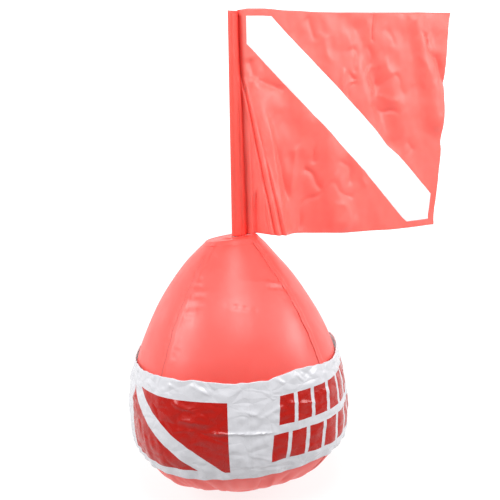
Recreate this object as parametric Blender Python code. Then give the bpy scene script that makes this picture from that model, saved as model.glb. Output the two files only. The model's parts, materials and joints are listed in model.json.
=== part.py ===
"""Inflatable dive flag float: a gored vinyl body, its printed band, a mast and a diver-down flag.

Metres, +Z up. The origin is the centre of the base that the float stands on, and the flag flies
towards +X. Each object is one piece of the float and one closed solid.
"""

import math

import bmesh
import bpy
from mathutils import Matrix, Vector

# Vinyl sheet and its welds
SKIN = 0.0008
GAP = 0.0003
SEAM_LAP = 0.008
LAP_RAMP = 0.004
CAP_LAP = 0.010
LAP_STEP = SKIN + GAP
CAP_LIFT = 2 * LAP_STEP

# Inflated body: its outline is two curves that meet at the belly
BODY_HEIGHT = 0.418
TOP_RADIUS = 0.040
SHOULDER_REACH = 0.029
SHOULDER_DROP = 0.0205
FLANK_RISE = 0.138
BELLY_RADIUS = 0.179
BELLY_HEIGHT = 0.132
BELLY_FALL = 0.106
HEEL_REACH = 0.0235
HEEL_RISE = 0.022
BASE_RADIUS = 0.060
GORE_NAMES = ("gore_right", "gore_back", "gore_left", "gore_front")
FIRST_SEAM = math.radians(-39.5)
CORNER_SHARE = 0.06
CORNER_BLEND_SHARE = 0.5
FLANK_ROWS = 8
BELLY_ROWS = 6
GORE_COLUMNS = 10
CAP_SEGMENTS = 48

# Printed band round the belly
BAND_TOP = 0.228
BAND_BOTTOM = 0.076
BAND_TILT = 0.003
BAND_LIFT = 2 * LAP_STEP
BAND_FLARE = 0.003
BAND_RIM_WAVE = 0.0015
BAND_RIM_WAVES = 9
BAND_PUCKER = 0.0016
BAND_SCALLOP = 0.002
BAND_PUCKERS = 24
BAND_COLUMNS = 96

# Ballast in the base
POUCH_BRIM_RADIUS = 0.056
POUCH_RADIUS = 0.048
POUCH_HEIGHT = 0.024
POUCH_ROUND = 0.005
WEIGHT_RADIUS = 0.045
WEIGHT_HEIGHT = 0.016
WEIGHT_CHAMFER = 0.002

# Mast and the socket that it stands in
MAST_OFFSET = 0.006
MAST_LEAN = math.radians(1.4)
MAST_RADIUS = 0.004
MAST_WALL = 0.001
SOCKET_DEPTH = 0.090
SOCKET_BORE = 0.0054
SOCKET_RADIUS = 0.008
SOCKET_FLOOR = 0.002
SOCKET_FLANGE = 0.015
SOCKET_FLANGE_THICKNESS = 0.0015
SOCKET_FILLET = 0.003
FOOT_RADIUS = 0.0049
FOOT_HEIGHT = 0.005
TIP_RADIUS = 0.0042
TIP_HEIGHT = 0.004
PLUG_LENGTH = 0.012
PLUG_CHAMFER = 0.001
MAST_SEGMENTS = 24

# Flag and its sleeve
FLAG_SWING = math.radians(18)
FLAG_HOIST = 0.356
FLAG_FLY = 0.388
SLEEVE_MOUTH = 0.009
MAST_TOP = FLAG_HOIST - SLEEVE_MOUTH
SLEEVE_EASE = 0.0006
SLEEVE_TAIL_TOP = 0.0135
SLEEVE_TAIL_BOTTOM = 0.021
SLEEVE_WELD = 0.008
SLEEVE_ARC_STEPS = 14
SLEEVE_LEVELS = 5
FLAG_COLUMNS = 20
FLAG_ROWS = 16
FLAG_STEPS = 40
FLAG_SAG = 0.002
STRIPE_BORDER = 0.011
STRIPE_CORNER = 0.042
MERGE = 0.0000005

# Folds of the flag, as shares of its fly along and of its hoist up: start along and up, end along and
# up, half width at the start and the end, and height at the start and the end, towards the viewer
FOLD_SHARES = (
    (0.08, 0.82, 0.190, 0.00, 0.045, 0.135, 0.004, 0.074),
    (0.24, 0.62, 0.400, 0.00, 0.080, 0.120, -0.008, -0.024),
    (0.42, 0.50, 0.540, 0.06, 0.070, 0.090, 0.014, 0.022),
    (0.56, 0.92, 0.760, 0.40, 0.060, 0.080, -0.014, -0.026),
    (0.84, 0.96, 0.980, 0.50, 0.060, 0.090, 0.020, 0.036),
)

# Mouth valve on the back, on its own axis out of the body
VALVE_AZIMUTH = math.radians(90)
VALVE_HEIGHT = 0.300
VALVE_WELD_RADIUS = 0.019
VALVE_WELD_MIDDLE = 0.013
COLLAR_RADIUS = 0.0086
COLLAR_BORE = 0.0064
COLLAR_HEIGHT = 0.0043
STEM_RADIUS = 0.006
STEM_BORE = 0.003
STEM_LENGTH = 0.0146
STEM_STOP_RADIUS = 0.0074
STEM_STOP_THICKNESS = 0.0014
LIP_RADIUS = 0.0104
LIP_THICKNESS = 0.0015
CAP_PLATE_RADIUS = 0.0075
CAP_PLATE_THICKNESS = 0.0016
CAP_PLUG_TIP_RADIUS = 0.002
CAP_PLUG_LENGTH = 0.005
CAP_HINGE_REACH = 0.012
CAP_BARREL_RADIUS = 0.0013
CAP_STRAP_WIDTH = 0.006
VALVE_SEGMENTS = 28
CUT_OVERRUN = 0.006

# Tow point low on the back
TOW_HEIGHT = 0.048
TOW_PATCH_RADIUS = 0.021
TOW_PATCH_THICKNESS = 0.0012
STRAP_WIDTH = 0.019
STRAP_THICKNESS = 0.0024
STRAP_RISE = 0.013
STRAP_DROP = 0.010
EYE_WALL = 0.0016
RING_WIRE = 0.002
RING_EASE = 0.0004
RING_HALF_WIDTH = 0.0125
RING_CORNER = 0.003
RING_SHANK = 0.006
RING_ARC_STEPS = 14
RING_CORNER_STEPS = 4
RING_SIDES = 2

UPPER_CURVE = (
    Vector((TOP_RADIUS, BODY_HEIGHT - CAP_LIFT)),
    Vector((TOP_RADIUS + SHOULDER_REACH, BODY_HEIGHT - CAP_LIFT - SHOULDER_DROP)),
    Vector((BELLY_RADIUS, BELLY_HEIGHT + FLANK_RISE)),
    Vector((BELLY_RADIUS, BELLY_HEIGHT)),
)
LOWER_CURVE = (
    Vector((BELLY_RADIUS, BELLY_HEIGHT)),
    Vector((BELLY_RADIUS, BELLY_HEIGHT - BELLY_FALL)),
    Vector((BASE_RADIUS + HEEL_REACH, CAP_LIFT + HEEL_RISE)),
    Vector((BASE_RADIUS, CAP_LIFT)),
)
SMOOTH_ANGLE = math.radians(40)


def clear_scene():
    """Remove every object that the file starts with."""
    for obj in list(bpy.data.objects):
        bpy.data.objects.remove(obj, do_unlink=True)


def finish(name, color, roughness=0.5, metallic=0.0):
    """Principled material of one colour."""
    material = bpy.data.materials.new(name)
    material.use_nodes = True
    shader = material.node_tree.nodes["Principled BSDF"]
    shader.inputs["Base Color"].default_value = (*color, 1)
    shader.inputs["Roughness"].default_value = roughness
    shader.inputs["Metallic"].default_value = metallic
    return material


def add_object(name, bm, material, parent=None):
    """Turn a bmesh into a named object with smooth faces that point outwards."""
    bmesh.ops.remove_doubles(bm, verts=bm.verts, dist=MERGE)
    bmesh.ops.recalc_face_normals(bm, faces=bm.faces)
    mesh = bpy.data.meshes.new(name)
    bm.to_mesh(mesh)
    bm.free()
    mesh.shade_smooth()
    mesh.set_sharp_from_angle(angle=SMOOTH_ANGLE)
    if material is not None:
        mesh.materials.append(material)
    obj = bpy.data.objects.new(name, mesh)
    bpy.context.collection.objects.link(obj)
    obj.parent = parent
    return obj


def add_empty(name, place, parent=None):
    """Empty that carries pieces on a joint's axis."""
    empty = bpy.data.objects.new(name, None)
    bpy.context.collection.objects.link(empty)
    empty.parent = parent
    empty.matrix_local = place
    return empty


def as_helper(obj):
    """Keep a cutter or a joined shape out of the model."""
    obj.hide_render = True
    obj.display_type = "WIRE"
    return obj


def add_boolean(obj, other, operation):
    """Cut or join another object, exactly."""
    modifier = obj.modifiers.new(other.name, "BOOLEAN")
    modifier.solver = "EXACT"
    modifier.operation = operation
    modifier.object = other


def turned(profile, segments):
    """Bmesh of a closed profile of (radius, height) points turned round Z."""
    bm = bmesh.new()
    corners = [bm.verts.new((radius, 0, height)) for radius, height in profile]
    edges = [bm.edges.new((a, b)) for a, b in zip(corners, corners[1:] + corners[:1])]
    bmesh.ops.spin(
        bm,
        geom=corners + edges,
        cent=(0, 0, 0),
        axis=(0, 0, 1),
        angle=math.tau,
        steps=segments,
        use_merge=True,
    )
    bmesh.ops.remove_doubles(bm, verts=bm.verts, dist=MERGE)
    axis_edges = [edge for edge in bm.edges if not edge.link_faces]
    bmesh.ops.delete(bm, geom=axis_edges, context="EDGES")
    return bm


def sheet(outer, inner, closed):
    """Bmesh of a thin wall between two grids of points, rows of columns; closed joins the columns' ends."""
    bm = bmesh.new()
    front = [[bm.verts.new(point) for point in row] for row in outer]
    back = [[bm.verts.new(point) for point in row] for row in inner]
    columns = len(outer[0])
    spans = [(k, (k + 1) % columns) for k in range(columns if closed else columns - 1)]
    for grid in (front, back):
        for above, below in zip(grid, grid[1:]):
            for a, b in spans:
                bm.faces.new((above[a], above[b], below[b], below[a]))
    for row in (0, -1):
        for a, b in spans:
            bm.faces.new((front[row][a], front[row][b], back[row][b], back[row][a]))
    if not closed:
        for column in (0, -1):
            for above in range(len(outer) - 1):
                below = above + 1
                bm.faces.new(
                    (
                        front[above][column],
                        front[below][column],
                        back[below][column],
                        back[above][column],
                    )
                )
    return bm


def smooth_step(x):
    """0 below 0, 1 above 1 and an even ease between them."""
    x = min(1, max(0, x))
    return x * x * (3 - 2 * x)


def bezier(curve, t):
    """Point and direction at t of a cubic Bezier curve."""
    a, b, c, d = curve
    s = 1 - t
    point = s**3 * a + 3 * s * s * t * b + 3 * s * t * t * c + t**3 * d
    along = s * s * (b - a) + 2 * s * t * (c - b) + t * t * (d - c)
    return point, along


def outline(t):
    """Point and downward direction of the body's outline, from t = 0 at the top to 2 at the base."""
    if t <= 1:
        return bezier(UPPER_CURVE, t)
    return bezier(LOWER_CURVE, t - 1)


def outline_at(height):
    """Place on the body's outline at a height."""
    low, high = 0.0, 2.0
    for _ in range(40):
        middle = (low + high) / 2
        if outline(middle)[0].y > height:
            low = middle
        else:
            high = middle
    return low


def outline_after(distance, start, sign):
    """Place on the outline a distance along it from start, down with sign 1 and up with -1."""
    steps = 200
    t = start
    travelled = 0.0
    previous = outline(t)[0]
    while travelled < distance:
        t += sign / steps
        point = outline(t)[0]
        travelled += (point - previous).length
        previous = point
    return t


TOP_LAP_END = outline_after(CAP_LAP, 0.0, 1)
BASE_LAP_END = outline_after(CAP_LAP, 2.0, -1)


def rows_of_body():
    """Places on the outline that the gores' rows of corners stand at."""
    flank = [TOP_LAP_END + (1 - TOP_LAP_END) * k / FLANK_ROWS for k in range(FLANK_ROWS)]
    belly = [1 + (BASE_LAP_END - 1) * k / BELLY_ROWS for k in range(BELLY_ROWS + 1)]
    return [0.0, *flank, *belly, 2.0]


def body_point(azimuth, t, lift=0.0):
    """Point of the body at an azimuth and a place on its outline, lifted off its surface."""
    point, along = outline(t)
    along = along.normalized()
    fade = smooth_step((t - TOP_LAP_END) / CORNER_BLEND_SHARE)
    fade *= smooth_step((BASE_LAP_END - t) / CORNER_BLEND_SHARE)
    gores = len(GORE_NAMES)
    corner = ((1 + math.cos(gores * (azimuth - FIRST_SEAM))) / 2) ** 2
    radius = point.x * (1 + CORNER_SHARE * fade * corner) - along.y * lift
    height = point.y + along.x * lift
    return Vector((radius * math.cos(azimuth), radius * math.sin(azimuth), height))


def gore_columns(radius, seam):
    """Azimuth and lift of a gore's columns: it laps over the last gore and under the next one."""
    next_seam = seam + math.tau / len(GORE_NAMES)
    half_lap = SEAM_LAP / 2 / radius
    ramp = LAP_RAMP / radius
    start = seam + half_lap + ramp
    end = next_seam - half_lap - ramp
    over = [(seam + side * half_lap, LAP_STEP) for side in (-1, 0, 1)]
    middle = [(start + (end - start) * k / GORE_COLUMNS, 0.0) for k in range(GORE_COLUMNS + 1)]
    under = [(next_seam + side * half_lap, 0.0) for side in (-1, 0, 1)]
    return over + middle + under


def make_gores(material):
    """The body's gores, in order round it."""
    gores = []
    for index, name in enumerate(GORE_NAMES):
        seam = FIRST_SEAM + math.tau * index / len(GORE_NAMES)
        walls = []
        for depth in (0.0, SKIN):
            walls.append(
                [
                    [
                        body_point(azimuth, t, lift - depth)
                        for azimuth, lift in gore_columns(outline(t)[0].x, seam)
                    ]
                    for t in rows_of_body()
                ]
            )
        gores.append(add_object(name, sheet(*walls, closed=False), material))
    return gores


def cap_profile(rows, face_radius, face_height, inward):
    """Closed profile of a flat vinyl cap whose skirt laps over the gores' ends."""
    skirt = []
    for depth in (0.0, SKIN):
        for t in rows if depth == 0 else reversed(rows):
            point, along = outline(t)
            along = along.normalized()
            lift = CAP_LIFT - depth
            skirt.append((point.x - along.y * lift, point.y + along.x * lift))
    face = [(0.0, face_height), (face_radius, face_height)]
    back = [(face_radius - SKIN / 2, face_height + inward * SKIN), (0.0, face_height + inward * SKIN)]
    return face + skirt + back


def make_caps(material, mast_axis):
    """The vinyl discs that close the body, with the mast's hole in the top one."""
    top_profile = cap_profile([0.0, TOP_LAP_END], TOP_RADIUS, BODY_HEIGHT, -1)
    base_profile = cap_profile([2.0, BASE_LAP_END], BASE_RADIUS, 0.0, 1)
    top_cap = add_object("top_cap", turned(top_profile, CAP_SEGMENTS), material)
    base_disc = add_object("base_disc", turned(base_profile, CAP_SEGMENTS), material)
    hole = [
        (0.0, CUT_OVERRUN),
        (0.0, -CUT_OVERRUN),
        (SOCKET_BORE, -CUT_OVERRUN),
        (SOCKET_BORE, CUT_OVERRUN),
    ]
    cutter = add_object("mast_hole_cutter", turned(hole, MAST_SEGMENTS), None, mast_axis)
    add_boolean(top_cap, as_helper(cutter), "DIFFERENCE")
    return top_cap, base_disc


def band_lift(azimuth, down):
    """How far the band's outer face stands off the body, down from 0 at its top to 1 at its lower rim."""
    rim_wave = BAND_RIM_WAVE * math.sin(BAND_RIM_WAVES * azimuth)
    top = (BAND_FLARE + rim_wave) * (1 - down) ** 3
    pucker = BAND_PUCKER * (1 + math.cos(BAND_PUCKERS * azimuth)) / 2 * down**3
    return BAND_LIFT + top + pucker


def make_band(material):
    """The printed vinyl band, loose at its top rim and gathered in puckers at its lower one."""
    azimuths = [math.tau * k / BAND_COLUMNS for k in range(BAND_COLUMNS)]
    inner_rows = [
        t
        for t in rows_of_body()
        if outline_at(BAND_TOP - BAND_TILT) < t < outline_at(BAND_BOTTOM + BAND_TILT + BAND_SCALLOP)
    ]
    walls = []
    for depth in (0.0, SKIN):
        columns = []
        for azimuth in azimuths:
            tilt = BAND_TILT * math.cos(azimuth)
            scallop = BAND_SCALLOP * (1 + math.cos(BAND_PUCKERS * azimuth)) / 2
            top = outline_at(BAND_TOP + tilt)
            bottom = outline_at(BAND_BOTTOM + tilt + scallop)
            columns.append(
                [
                    body_point(azimuth, t, band_lift(azimuth, (t - top) / (bottom - top)) - depth)
                    for t in (top, *inner_rows, bottom)
                ]
            )
        walls.append([list(row) for row in zip(*columns)])
    return add_object("printed_band", sheet(*walls, closed=True), material)


def make_ballast(vinyl, metal):
    """The welded pouch inside the base and the weight that it holds."""
    floor = SKIN + GAP
    roof = floor + POUCH_HEIGHT
    pouch = [
        (POUCH_BRIM_RADIUS, floor),
        (POUCH_BRIM_RADIUS, floor + SKIN),
        (POUCH_RADIUS, floor + SKIN),
        (POUCH_RADIUS, roof - POUCH_ROUND),
        (POUCH_RADIUS - POUCH_ROUND, roof),
        (0.0, roof),
        (0.0, roof - SKIN),
        (POUCH_RADIUS - POUCH_ROUND - SKIN / 2, roof - SKIN),
        (POUCH_RADIUS - SKIN, roof - POUCH_ROUND - SKIN / 2),
        (POUCH_RADIUS - SKIN, floor),
    ]
    top = floor + WEIGHT_HEIGHT
    weight = [
        (0.0, floor),
        (WEIGHT_RADIUS - WEIGHT_CHAMFER, floor),
        (WEIGHT_RADIUS, floor + WEIGHT_CHAMFER),
        (WEIGHT_RADIUS, top - WEIGHT_CHAMFER),
        (WEIGHT_RADIUS - WEIGHT_CHAMFER, top),
        (0.0, top),
    ]
    add_object("ballast_pouch", turned(pouch, CAP_SEGMENTS), vinyl)
    add_object("ballast_weight", turned(weight, CAP_SEGMENTS), metal)


def make_socket(material, mast_axis):
    """The flanged blind tube under the top cap."""
    top = -(SKIN + GAP + SOCKET_FLANGE * math.sin(MAST_LEAN))
    flange_bottom = top - SOCKET_FLANGE_THICKNESS
    profile = [
        (SOCKET_BORE, top),
        (SOCKET_FLANGE, top),
        (SOCKET_FLANGE, flange_bottom),
        (SOCKET_RADIUS + SOCKET_FILLET, flange_bottom),
        (SOCKET_RADIUS, flange_bottom - SOCKET_FILLET),
        (SOCKET_RADIUS, -SOCKET_DEPTH - SOCKET_FLOOR),
        (0.0, -SOCKET_DEPTH - SOCKET_FLOOR),
        (0.0, -SOCKET_DEPTH),
        (SOCKET_BORE, -SOCKET_DEPTH),
    ]
    add_object("mast_socket", turned(profile, MAST_SEGMENTS), material, mast_axis)


def make_mast(tube_material, plug_material, mast_axis):
    """The stiff tube and the plug in each of its ends."""
    bore = MAST_RADIUS - MAST_WALL
    foot_bottom = -SOCKET_DEPTH + GAP
    foot_top = foot_bottom + FOOT_HEIGHT
    tip_bottom = MAST_TOP - TIP_HEIGHT
    tube = [
        (bore, foot_top + GAP),
        (MAST_RADIUS, foot_top + GAP),
        (MAST_RADIUS, tip_bottom - GAP),
        (bore, tip_bottom - GAP),
    ]
    plug_radius = bore - GAP
    foot = [
        (0.0, foot_bottom),
        (FOOT_RADIUS - PLUG_CHAMFER, foot_bottom),
        (FOOT_RADIUS, foot_bottom + PLUG_CHAMFER),
        (FOOT_RADIUS, foot_top),
        (plug_radius, foot_top),
        (plug_radius, foot_top + PLUG_LENGTH - PLUG_CHAMFER),
        (plug_radius - PLUG_CHAMFER, foot_top + PLUG_LENGTH),
        (0.0, foot_top + PLUG_LENGTH),
    ]
    dome = [
        (
            TIP_RADIUS * math.cos(math.radians(angle)),
            MAST_TOP - TIP_HEIGHT / 2 * (1 - math.sin(math.radians(angle))),
        )
        for angle in (0, 30, 60)
    ]
    tip = [
        (plug_radius - PLUG_CHAMFER, tip_bottom - PLUG_LENGTH),
        (plug_radius, tip_bottom - PLUG_LENGTH + PLUG_CHAMFER),
        (plug_radius, tip_bottom),
        (TIP_RADIUS, tip_bottom),
        *dome,
        (0.0, MAST_TOP),
        (0.0, tip_bottom - PLUG_LENGTH),
    ]
    add_object("mast_tube", turned(tube, MAST_SEGMENTS), tube_material, mast_axis)
    add_object("mast_foot", turned(foot, MAST_SEGMENTS), plug_material, mast_axis)
    add_object("mast_tip", turned(tip, MAST_SEGMENTS), plug_material, mast_axis)


def sleeve_tail(up):
    """How far the sleeve's weld lies from the mast's axis, up the hoist."""
    return SLEEVE_TAIL_BOTTOM + (SLEEVE_TAIL_TOP - SLEEVE_TAIL_BOTTOM) * up / FLAG_HOIST


def sleeve_loops(up):
    """Outer and inner loops of the sleeve's section: round the mast, then both plies to the weld."""
    tail = sleeve_tail(up)
    inner = MAST_RADIUS + SLEEVE_EASE
    outer = inner + SKIN
    face = SKIN / 2
    back = face + GAP
    turn = math.acos(outer / tail)
    angles = [
        -turn - (math.tau - 2 * turn) * k / SLEEVE_ARC_STEPS for k in range(SLEEVE_ARC_STEPS + 1)
    ]
    outer_loop = [(outer * math.cos(angle), outer * math.sin(angle)) for angle in angles]
    outer_loop += [
        (tail, back + SKIN),
        (tail + SLEEVE_WELD, back + SKIN),
        (tail + SLEEVE_WELD, back),
        (tail, back),
        (tail, -face),
    ]
    inner_loop = [(inner * math.cos(angle), inner * math.sin(angle)) for angle in angles]
    inner_loop += [(tail - 2 * SKIN, back), (tail - 2 * SKIN, back - face)]
    return outer_loop, inner_loop


def flag_foot():
    """Height of the flag's lower edge over the mast's place on the top cap."""
    return GAP + (SLEEVE_TAIL_BOTTOM + SLEEVE_WELD) * math.sin(MAST_LEAN)


def make_sleeve(material, flag_axis):
    """The tube of vinyl round the mast, open at both ends, with the strip that the flag is welded to."""
    bm = bmesh.new()
    levels = []
    for k in range(SLEEVE_LEVELS):
        up = FLAG_HOIST * k / (SLEEVE_LEVELS - 1)
        height = flag_foot() + up
        levels.append([[bm.verts.new((x, y, height)) for x, y in loop] for loop in sleeve_loops(up)])
    for lower, upper in zip(levels, levels[1:]):
        for below, above in zip(lower, upper):
            for k in range(len(below)):
                bm.faces.new((below[k - 1], below[k], above[k], above[k - 1]))
    for level in (levels[0], levels[-1]):
        edges = [bm.edges.get((loop[k - 1], loop[k])) for loop in level for k in range(len(loop))]
        bmesh.ops.triangle_fill(bm, edges=edges, use_beauty=True)
    return add_object("flag_sleeve", bm, material, flag_axis)


def fold_height(along, up):
    """How far the flag's folds stand out of its plane, at a place on the flat flag."""
    total = 0.0
    for start_x, start_z, end_x, end_z, start_width, end_width, start_height, end_height in FOLD_SHARES:
        start = Vector((start_x * FLAG_FLY, start_z * FLAG_HOIST))
        line = Vector((end_x * FLAG_FLY, end_z * FLAG_HOIST)) - start
        offset = Vector((along, up)) - start
        place = offset.dot(line) / line.length_squared
        side = abs(line.x * offset.y - line.y * offset.x) / line.length
        held = min(1, max(0, place))
        width = FLAG_FLY * (start_width + (end_width - start_width) * held)
        height = FLAG_HOIST * (start_height + (end_height - start_height) * held)
        past = max(0, -place, place - 1) * line.length
        reach = math.hypot(side, past) / width
        if reach < 1:
            total += height * math.cos(math.pi * reach / 2) ** 2
    return total


def flag_point(along, up):
    """Point of the folded flag, at a place on the flat flag: the folds take up cloth along the fly."""
    start = sleeve_tail(up)
    step = (along - start) / FLAG_STEPS
    x = start
    y = fold_height(start, up)
    for k in range(FLAG_STEPS):
        next_y = fold_height(start + step * (k + 1), up)
        x += math.sqrt(max(0, step * step - (next_y - y) ** 2))
        y = next_y
    sag = FLAG_SAG * along / FLAG_FLY
    return Vector((x, -y, flag_foot() + up - sag))


def stripe_edges():
    """The stripe's outline on the flat flag, as a point on each edge and its inward direction."""
    left = SLEEVE_TAIL_TOP + STRIPE_BORDER
    right = FLAG_FLY - STRIPE_BORDER
    low = STRIPE_BORDER
    high = FLAG_HOIST - STRIPE_BORDER
    slant = Vector((right - STRIPE_CORNER - left, low - high + STRIPE_CORNER)).normalized()
    upright = Vector((-slant.y, slant.x))
    return (
        (Vector((left, low)), Vector((1, 0))),
        (Vector((right, low)), Vector((-1, 0))),
        (Vector((left, low)), Vector((0, 1))),
        (Vector((left, high)), Vector((0, -1))),
        (Vector((left, high - STRIPE_CORNER)), upright),
        (Vector((left + STRIPE_CORNER, high)), -upright),
    )


def stripe_depth(place):
    """How far a place on the flat flag lies inside the stripe, below 0 outside it."""
    return min((place - point).dot(inward) for point, inward in stripe_edges())


def between(low, high, steps):
    """Evenly spaced values from low to high."""
    return [low + (high - low) * k / steps for k in range(steps + 1)]


def flat_flag():
    """Bmesh of the flat flag, cut along the stripe's outline with a gap between the two."""
    left, right, low, high = [point for point, _ in stripe_edges()[:4]]
    half = GAP / 2
    columns = [*between(left.x + half, right.x - half, FLAG_COLUMNS), right.x + half, FLAG_FLY]
    rows = [0.0, low.y - half, *between(low.y + half, high.y - half, FLAG_ROWS)]
    rows += [high.y + half, FLAG_HOIST]
    bm = bmesh.new()
    grid = [
        [bm.verts.new((x, up, 0)) for x in (sleeve_tail(up) + GAP, left.x - half, *columns)] for up in rows
    ]
    for below, above in zip(grid, grid[1:]):
        for k in range(1, len(below)):
            bm.faces.new((below[k - 1], below[k], above[k], above[k - 1]))
    for point, inward in stripe_edges()[4:]:
        for side in (-1, 1):
            cut = point + inward * side * half
            bmesh.ops.bisect_plane(
                bm,
                geom=[*bm.verts, *bm.edges, *bm.faces],
                dist=MERGE,
                plane_co=(*cut, 0),
                plane_no=(*inward, 0),
            )
    return bm


def make_flag(red, white, flag_axis):
    """The flag and its inlaid stripe, cut flat and then folded."""
    for name, material, wanted in (("flag_panel", red, -1), ("flag_stripe", white, 1)):
        bm = flat_flag()
        others = [
            face
            for face in bm.faces
            if stripe_depth(face.calc_center_median().xy) * wanted < GAP / 2
        ]
        bmesh.ops.delete(bm, geom=others, context="FACES")
        for vert in bm.verts:
            vert.co = flag_point(vert.co.x, vert.co.y)
        obj = add_object(name, bm, material, flag_axis)
        wall = obj.modifiers.new("wall", "SOLIDIFY")
        wall.thickness = SKIN
        wall.offset = 0.0


def surface_frame(azimuth, height):
    """Frame on the body's surface: Z out of it and Y up along it."""
    t = outline_at(height)
    along = outline(t)[1].normalized()
    out = Vector((-along.y * math.cos(azimuth), -along.y * math.sin(azimuth), along.x))
    up = Vector((-along.x * math.cos(azimuth), -along.x * math.sin(azimuth), -along.y))
    turn = Matrix((up.cross(out), up, out)).transposed().to_4x4()
    return Matrix.Translation(body_point(azimuth, t)) @ turn


def surface_drop(azimuth, height, x, y):
    """How far the body falls away under a place beside a surface frame's own point, below 0."""
    frame = surface_frame(azimuth, height)
    t = outline_at(height)
    point, along = outline(t)
    beside = body_point(azimuth + x / point.x, outline_at(height - along.normalized().y * y))
    return (frame.inverted() @ beside).z


def welded_patch(azimuth, height, profile, segments):
    """Bmesh turned in a surface frame from (radius, height, share) points, laid on the body by share."""
    bm = bmesh.new()
    rings = []
    for k in range(segments):
        turn = math.tau * k / segments
        ring = []
        for radius, rise, laid_share in profile:
            x = radius * math.cos(turn)
            y = radius * math.sin(turn)
            drop = surface_drop(azimuth, height, x, y) * laid_share
            ring.append(bm.verts.new((x, y, rise + drop)))
        rings.append(ring)
    for k in range(segments):
        for a in range(len(profile)):
            corners = (rings[k - 1][a - 1], rings[k - 1][a], rings[k][a], rings[k][a - 1])
            bm.faces.new(corners)
    bmesh.ops.remove_doubles(bm, verts=bm.verts, dist=MERGE)
    return bm


def make_valve(soft, back_gore):
    """The mouth valve: a welded flange with its collar, the sliding stem and the hinged plug cap."""
    frame = add_empty("valve_axis", surface_frame(VALVE_AZIMUTH, VALVE_HEIGHT))
    top = GAP + SKIN
    flange = [
        (COLLAR_BORE, GAP, 1),
        (VALVE_WELD_MIDDLE, GAP, 1),
        (VALVE_WELD_RADIUS, GAP, 1),
        (VALVE_WELD_RADIUS, top, 1),
        (VALVE_WELD_MIDDLE, top, 1),
        (COLLAR_RADIUS, top, 1),
        (COLLAR_RADIUS, COLLAR_HEIGHT, 0),
        (COLLAR_BORE, COLLAR_HEIGHT, 0),
    ]
    patch = welded_patch(VALVE_AZIMUTH, VALVE_HEIGHT, flange, VALVE_SEGMENTS)
    add_object("valve_flange", patch, soft, frame)
    hole = [
        (0.0, CUT_OVERRUN),
        (0.0, -CUT_OVERRUN),
        (COLLAR_BORE, -CUT_OVERRUN),
        (COLLAR_BORE, CUT_OVERRUN),
    ]
    cutter = add_object("valve_hole_cutter", turned(hole, VALVE_SEGMENTS), None, frame)
    add_boolean(back_gore, as_helper(cutter), "DIFFERENCE")

    lip_bottom = COLLAR_HEIGHT + GAP
    lip_top = lip_bottom + LIP_THICKNESS
    stem = [
        (STEM_BORE, -STEM_LENGTH - STEM_STOP_THICKNESS),
        (STEM_STOP_RADIUS, -STEM_LENGTH - STEM_STOP_THICKNESS),
        (STEM_STOP_RADIUS, -STEM_LENGTH),
        (STEM_RADIUS, -STEM_LENGTH),
        (STEM_RADIUS, lip_bottom),
        (LIP_RADIUS, lip_bottom),
        (LIP_RADIUS, lip_top),
        (STEM_BORE, lip_top),
    ]
    add_object("valve_stem", turned(stem, VALVE_SEGMENTS), soft, frame)

    hinge_height = (lip_bottom + lip_top) / 2
    hinge = Matrix.Translation((0, CAP_HINGE_REACH, hinge_height))
    cap_axis = add_empty("valve_cap_axis", hinge, frame)
    plate_bottom = lip_top + GAP - hinge_height
    plate_top = plate_bottom + CAP_PLATE_THICKNESS
    plug_radius = STEM_BORE - GAP
    cap = [
        (0.0, plate_bottom - CAP_PLUG_LENGTH),
        (CAP_PLUG_TIP_RADIUS, plate_bottom - CAP_PLUG_LENGTH),
        (plug_radius, plate_bottom),
        (CAP_PLATE_RADIUS, plate_bottom),
        (CAP_PLATE_RADIUS, plate_top),
        (0.0, plate_top),
    ]
    bm = turned(cap, VALVE_SEGMENTS)
    bmesh.ops.translate(bm, verts=bm.verts, vec=(0, -CAP_HINGE_REACH, 0))
    plate = add_object("valve_cap", bm, soft, cap_axis)
    strap = bmesh.new()
    bmesh.ops.create_cube(strap, size=1)
    strap_length = CAP_HINGE_REACH - CAP_PLATE_RADIUS / 2
    size = Matrix.Diagonal((CAP_STRAP_WIDTH, strap_length, CAP_PLATE_THICKNESS - GAP, 1))
    centre = Matrix.Translation((0, -strap_length / 2, (plate_bottom + plate_top) / 2))
    bmesh.ops.transform(strap, matrix=centre @ size, verts=strap.verts)
    barrel = bmesh.new()
    bmesh.ops.create_cone(
        barrel,
        cap_ends=True,
        segments=VALVE_SEGMENTS // 2,
        radius1=CAP_BARREL_RADIUS,
        radius2=CAP_BARREL_RADIUS,
        depth=CAP_STRAP_WIDTH + GAP,
    )
    bmesh.ops.rotate(barrel, verts=barrel.verts, matrix=Matrix.Rotation(math.pi / 2, 3, "Y"))
    for name, bm in (("valve_cap_strap", strap), ("valve_cap_barrel", barrel)):
        add_boolean(plate, as_helper(add_object(name, bm, None, cap_axis)), "UNION")


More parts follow.
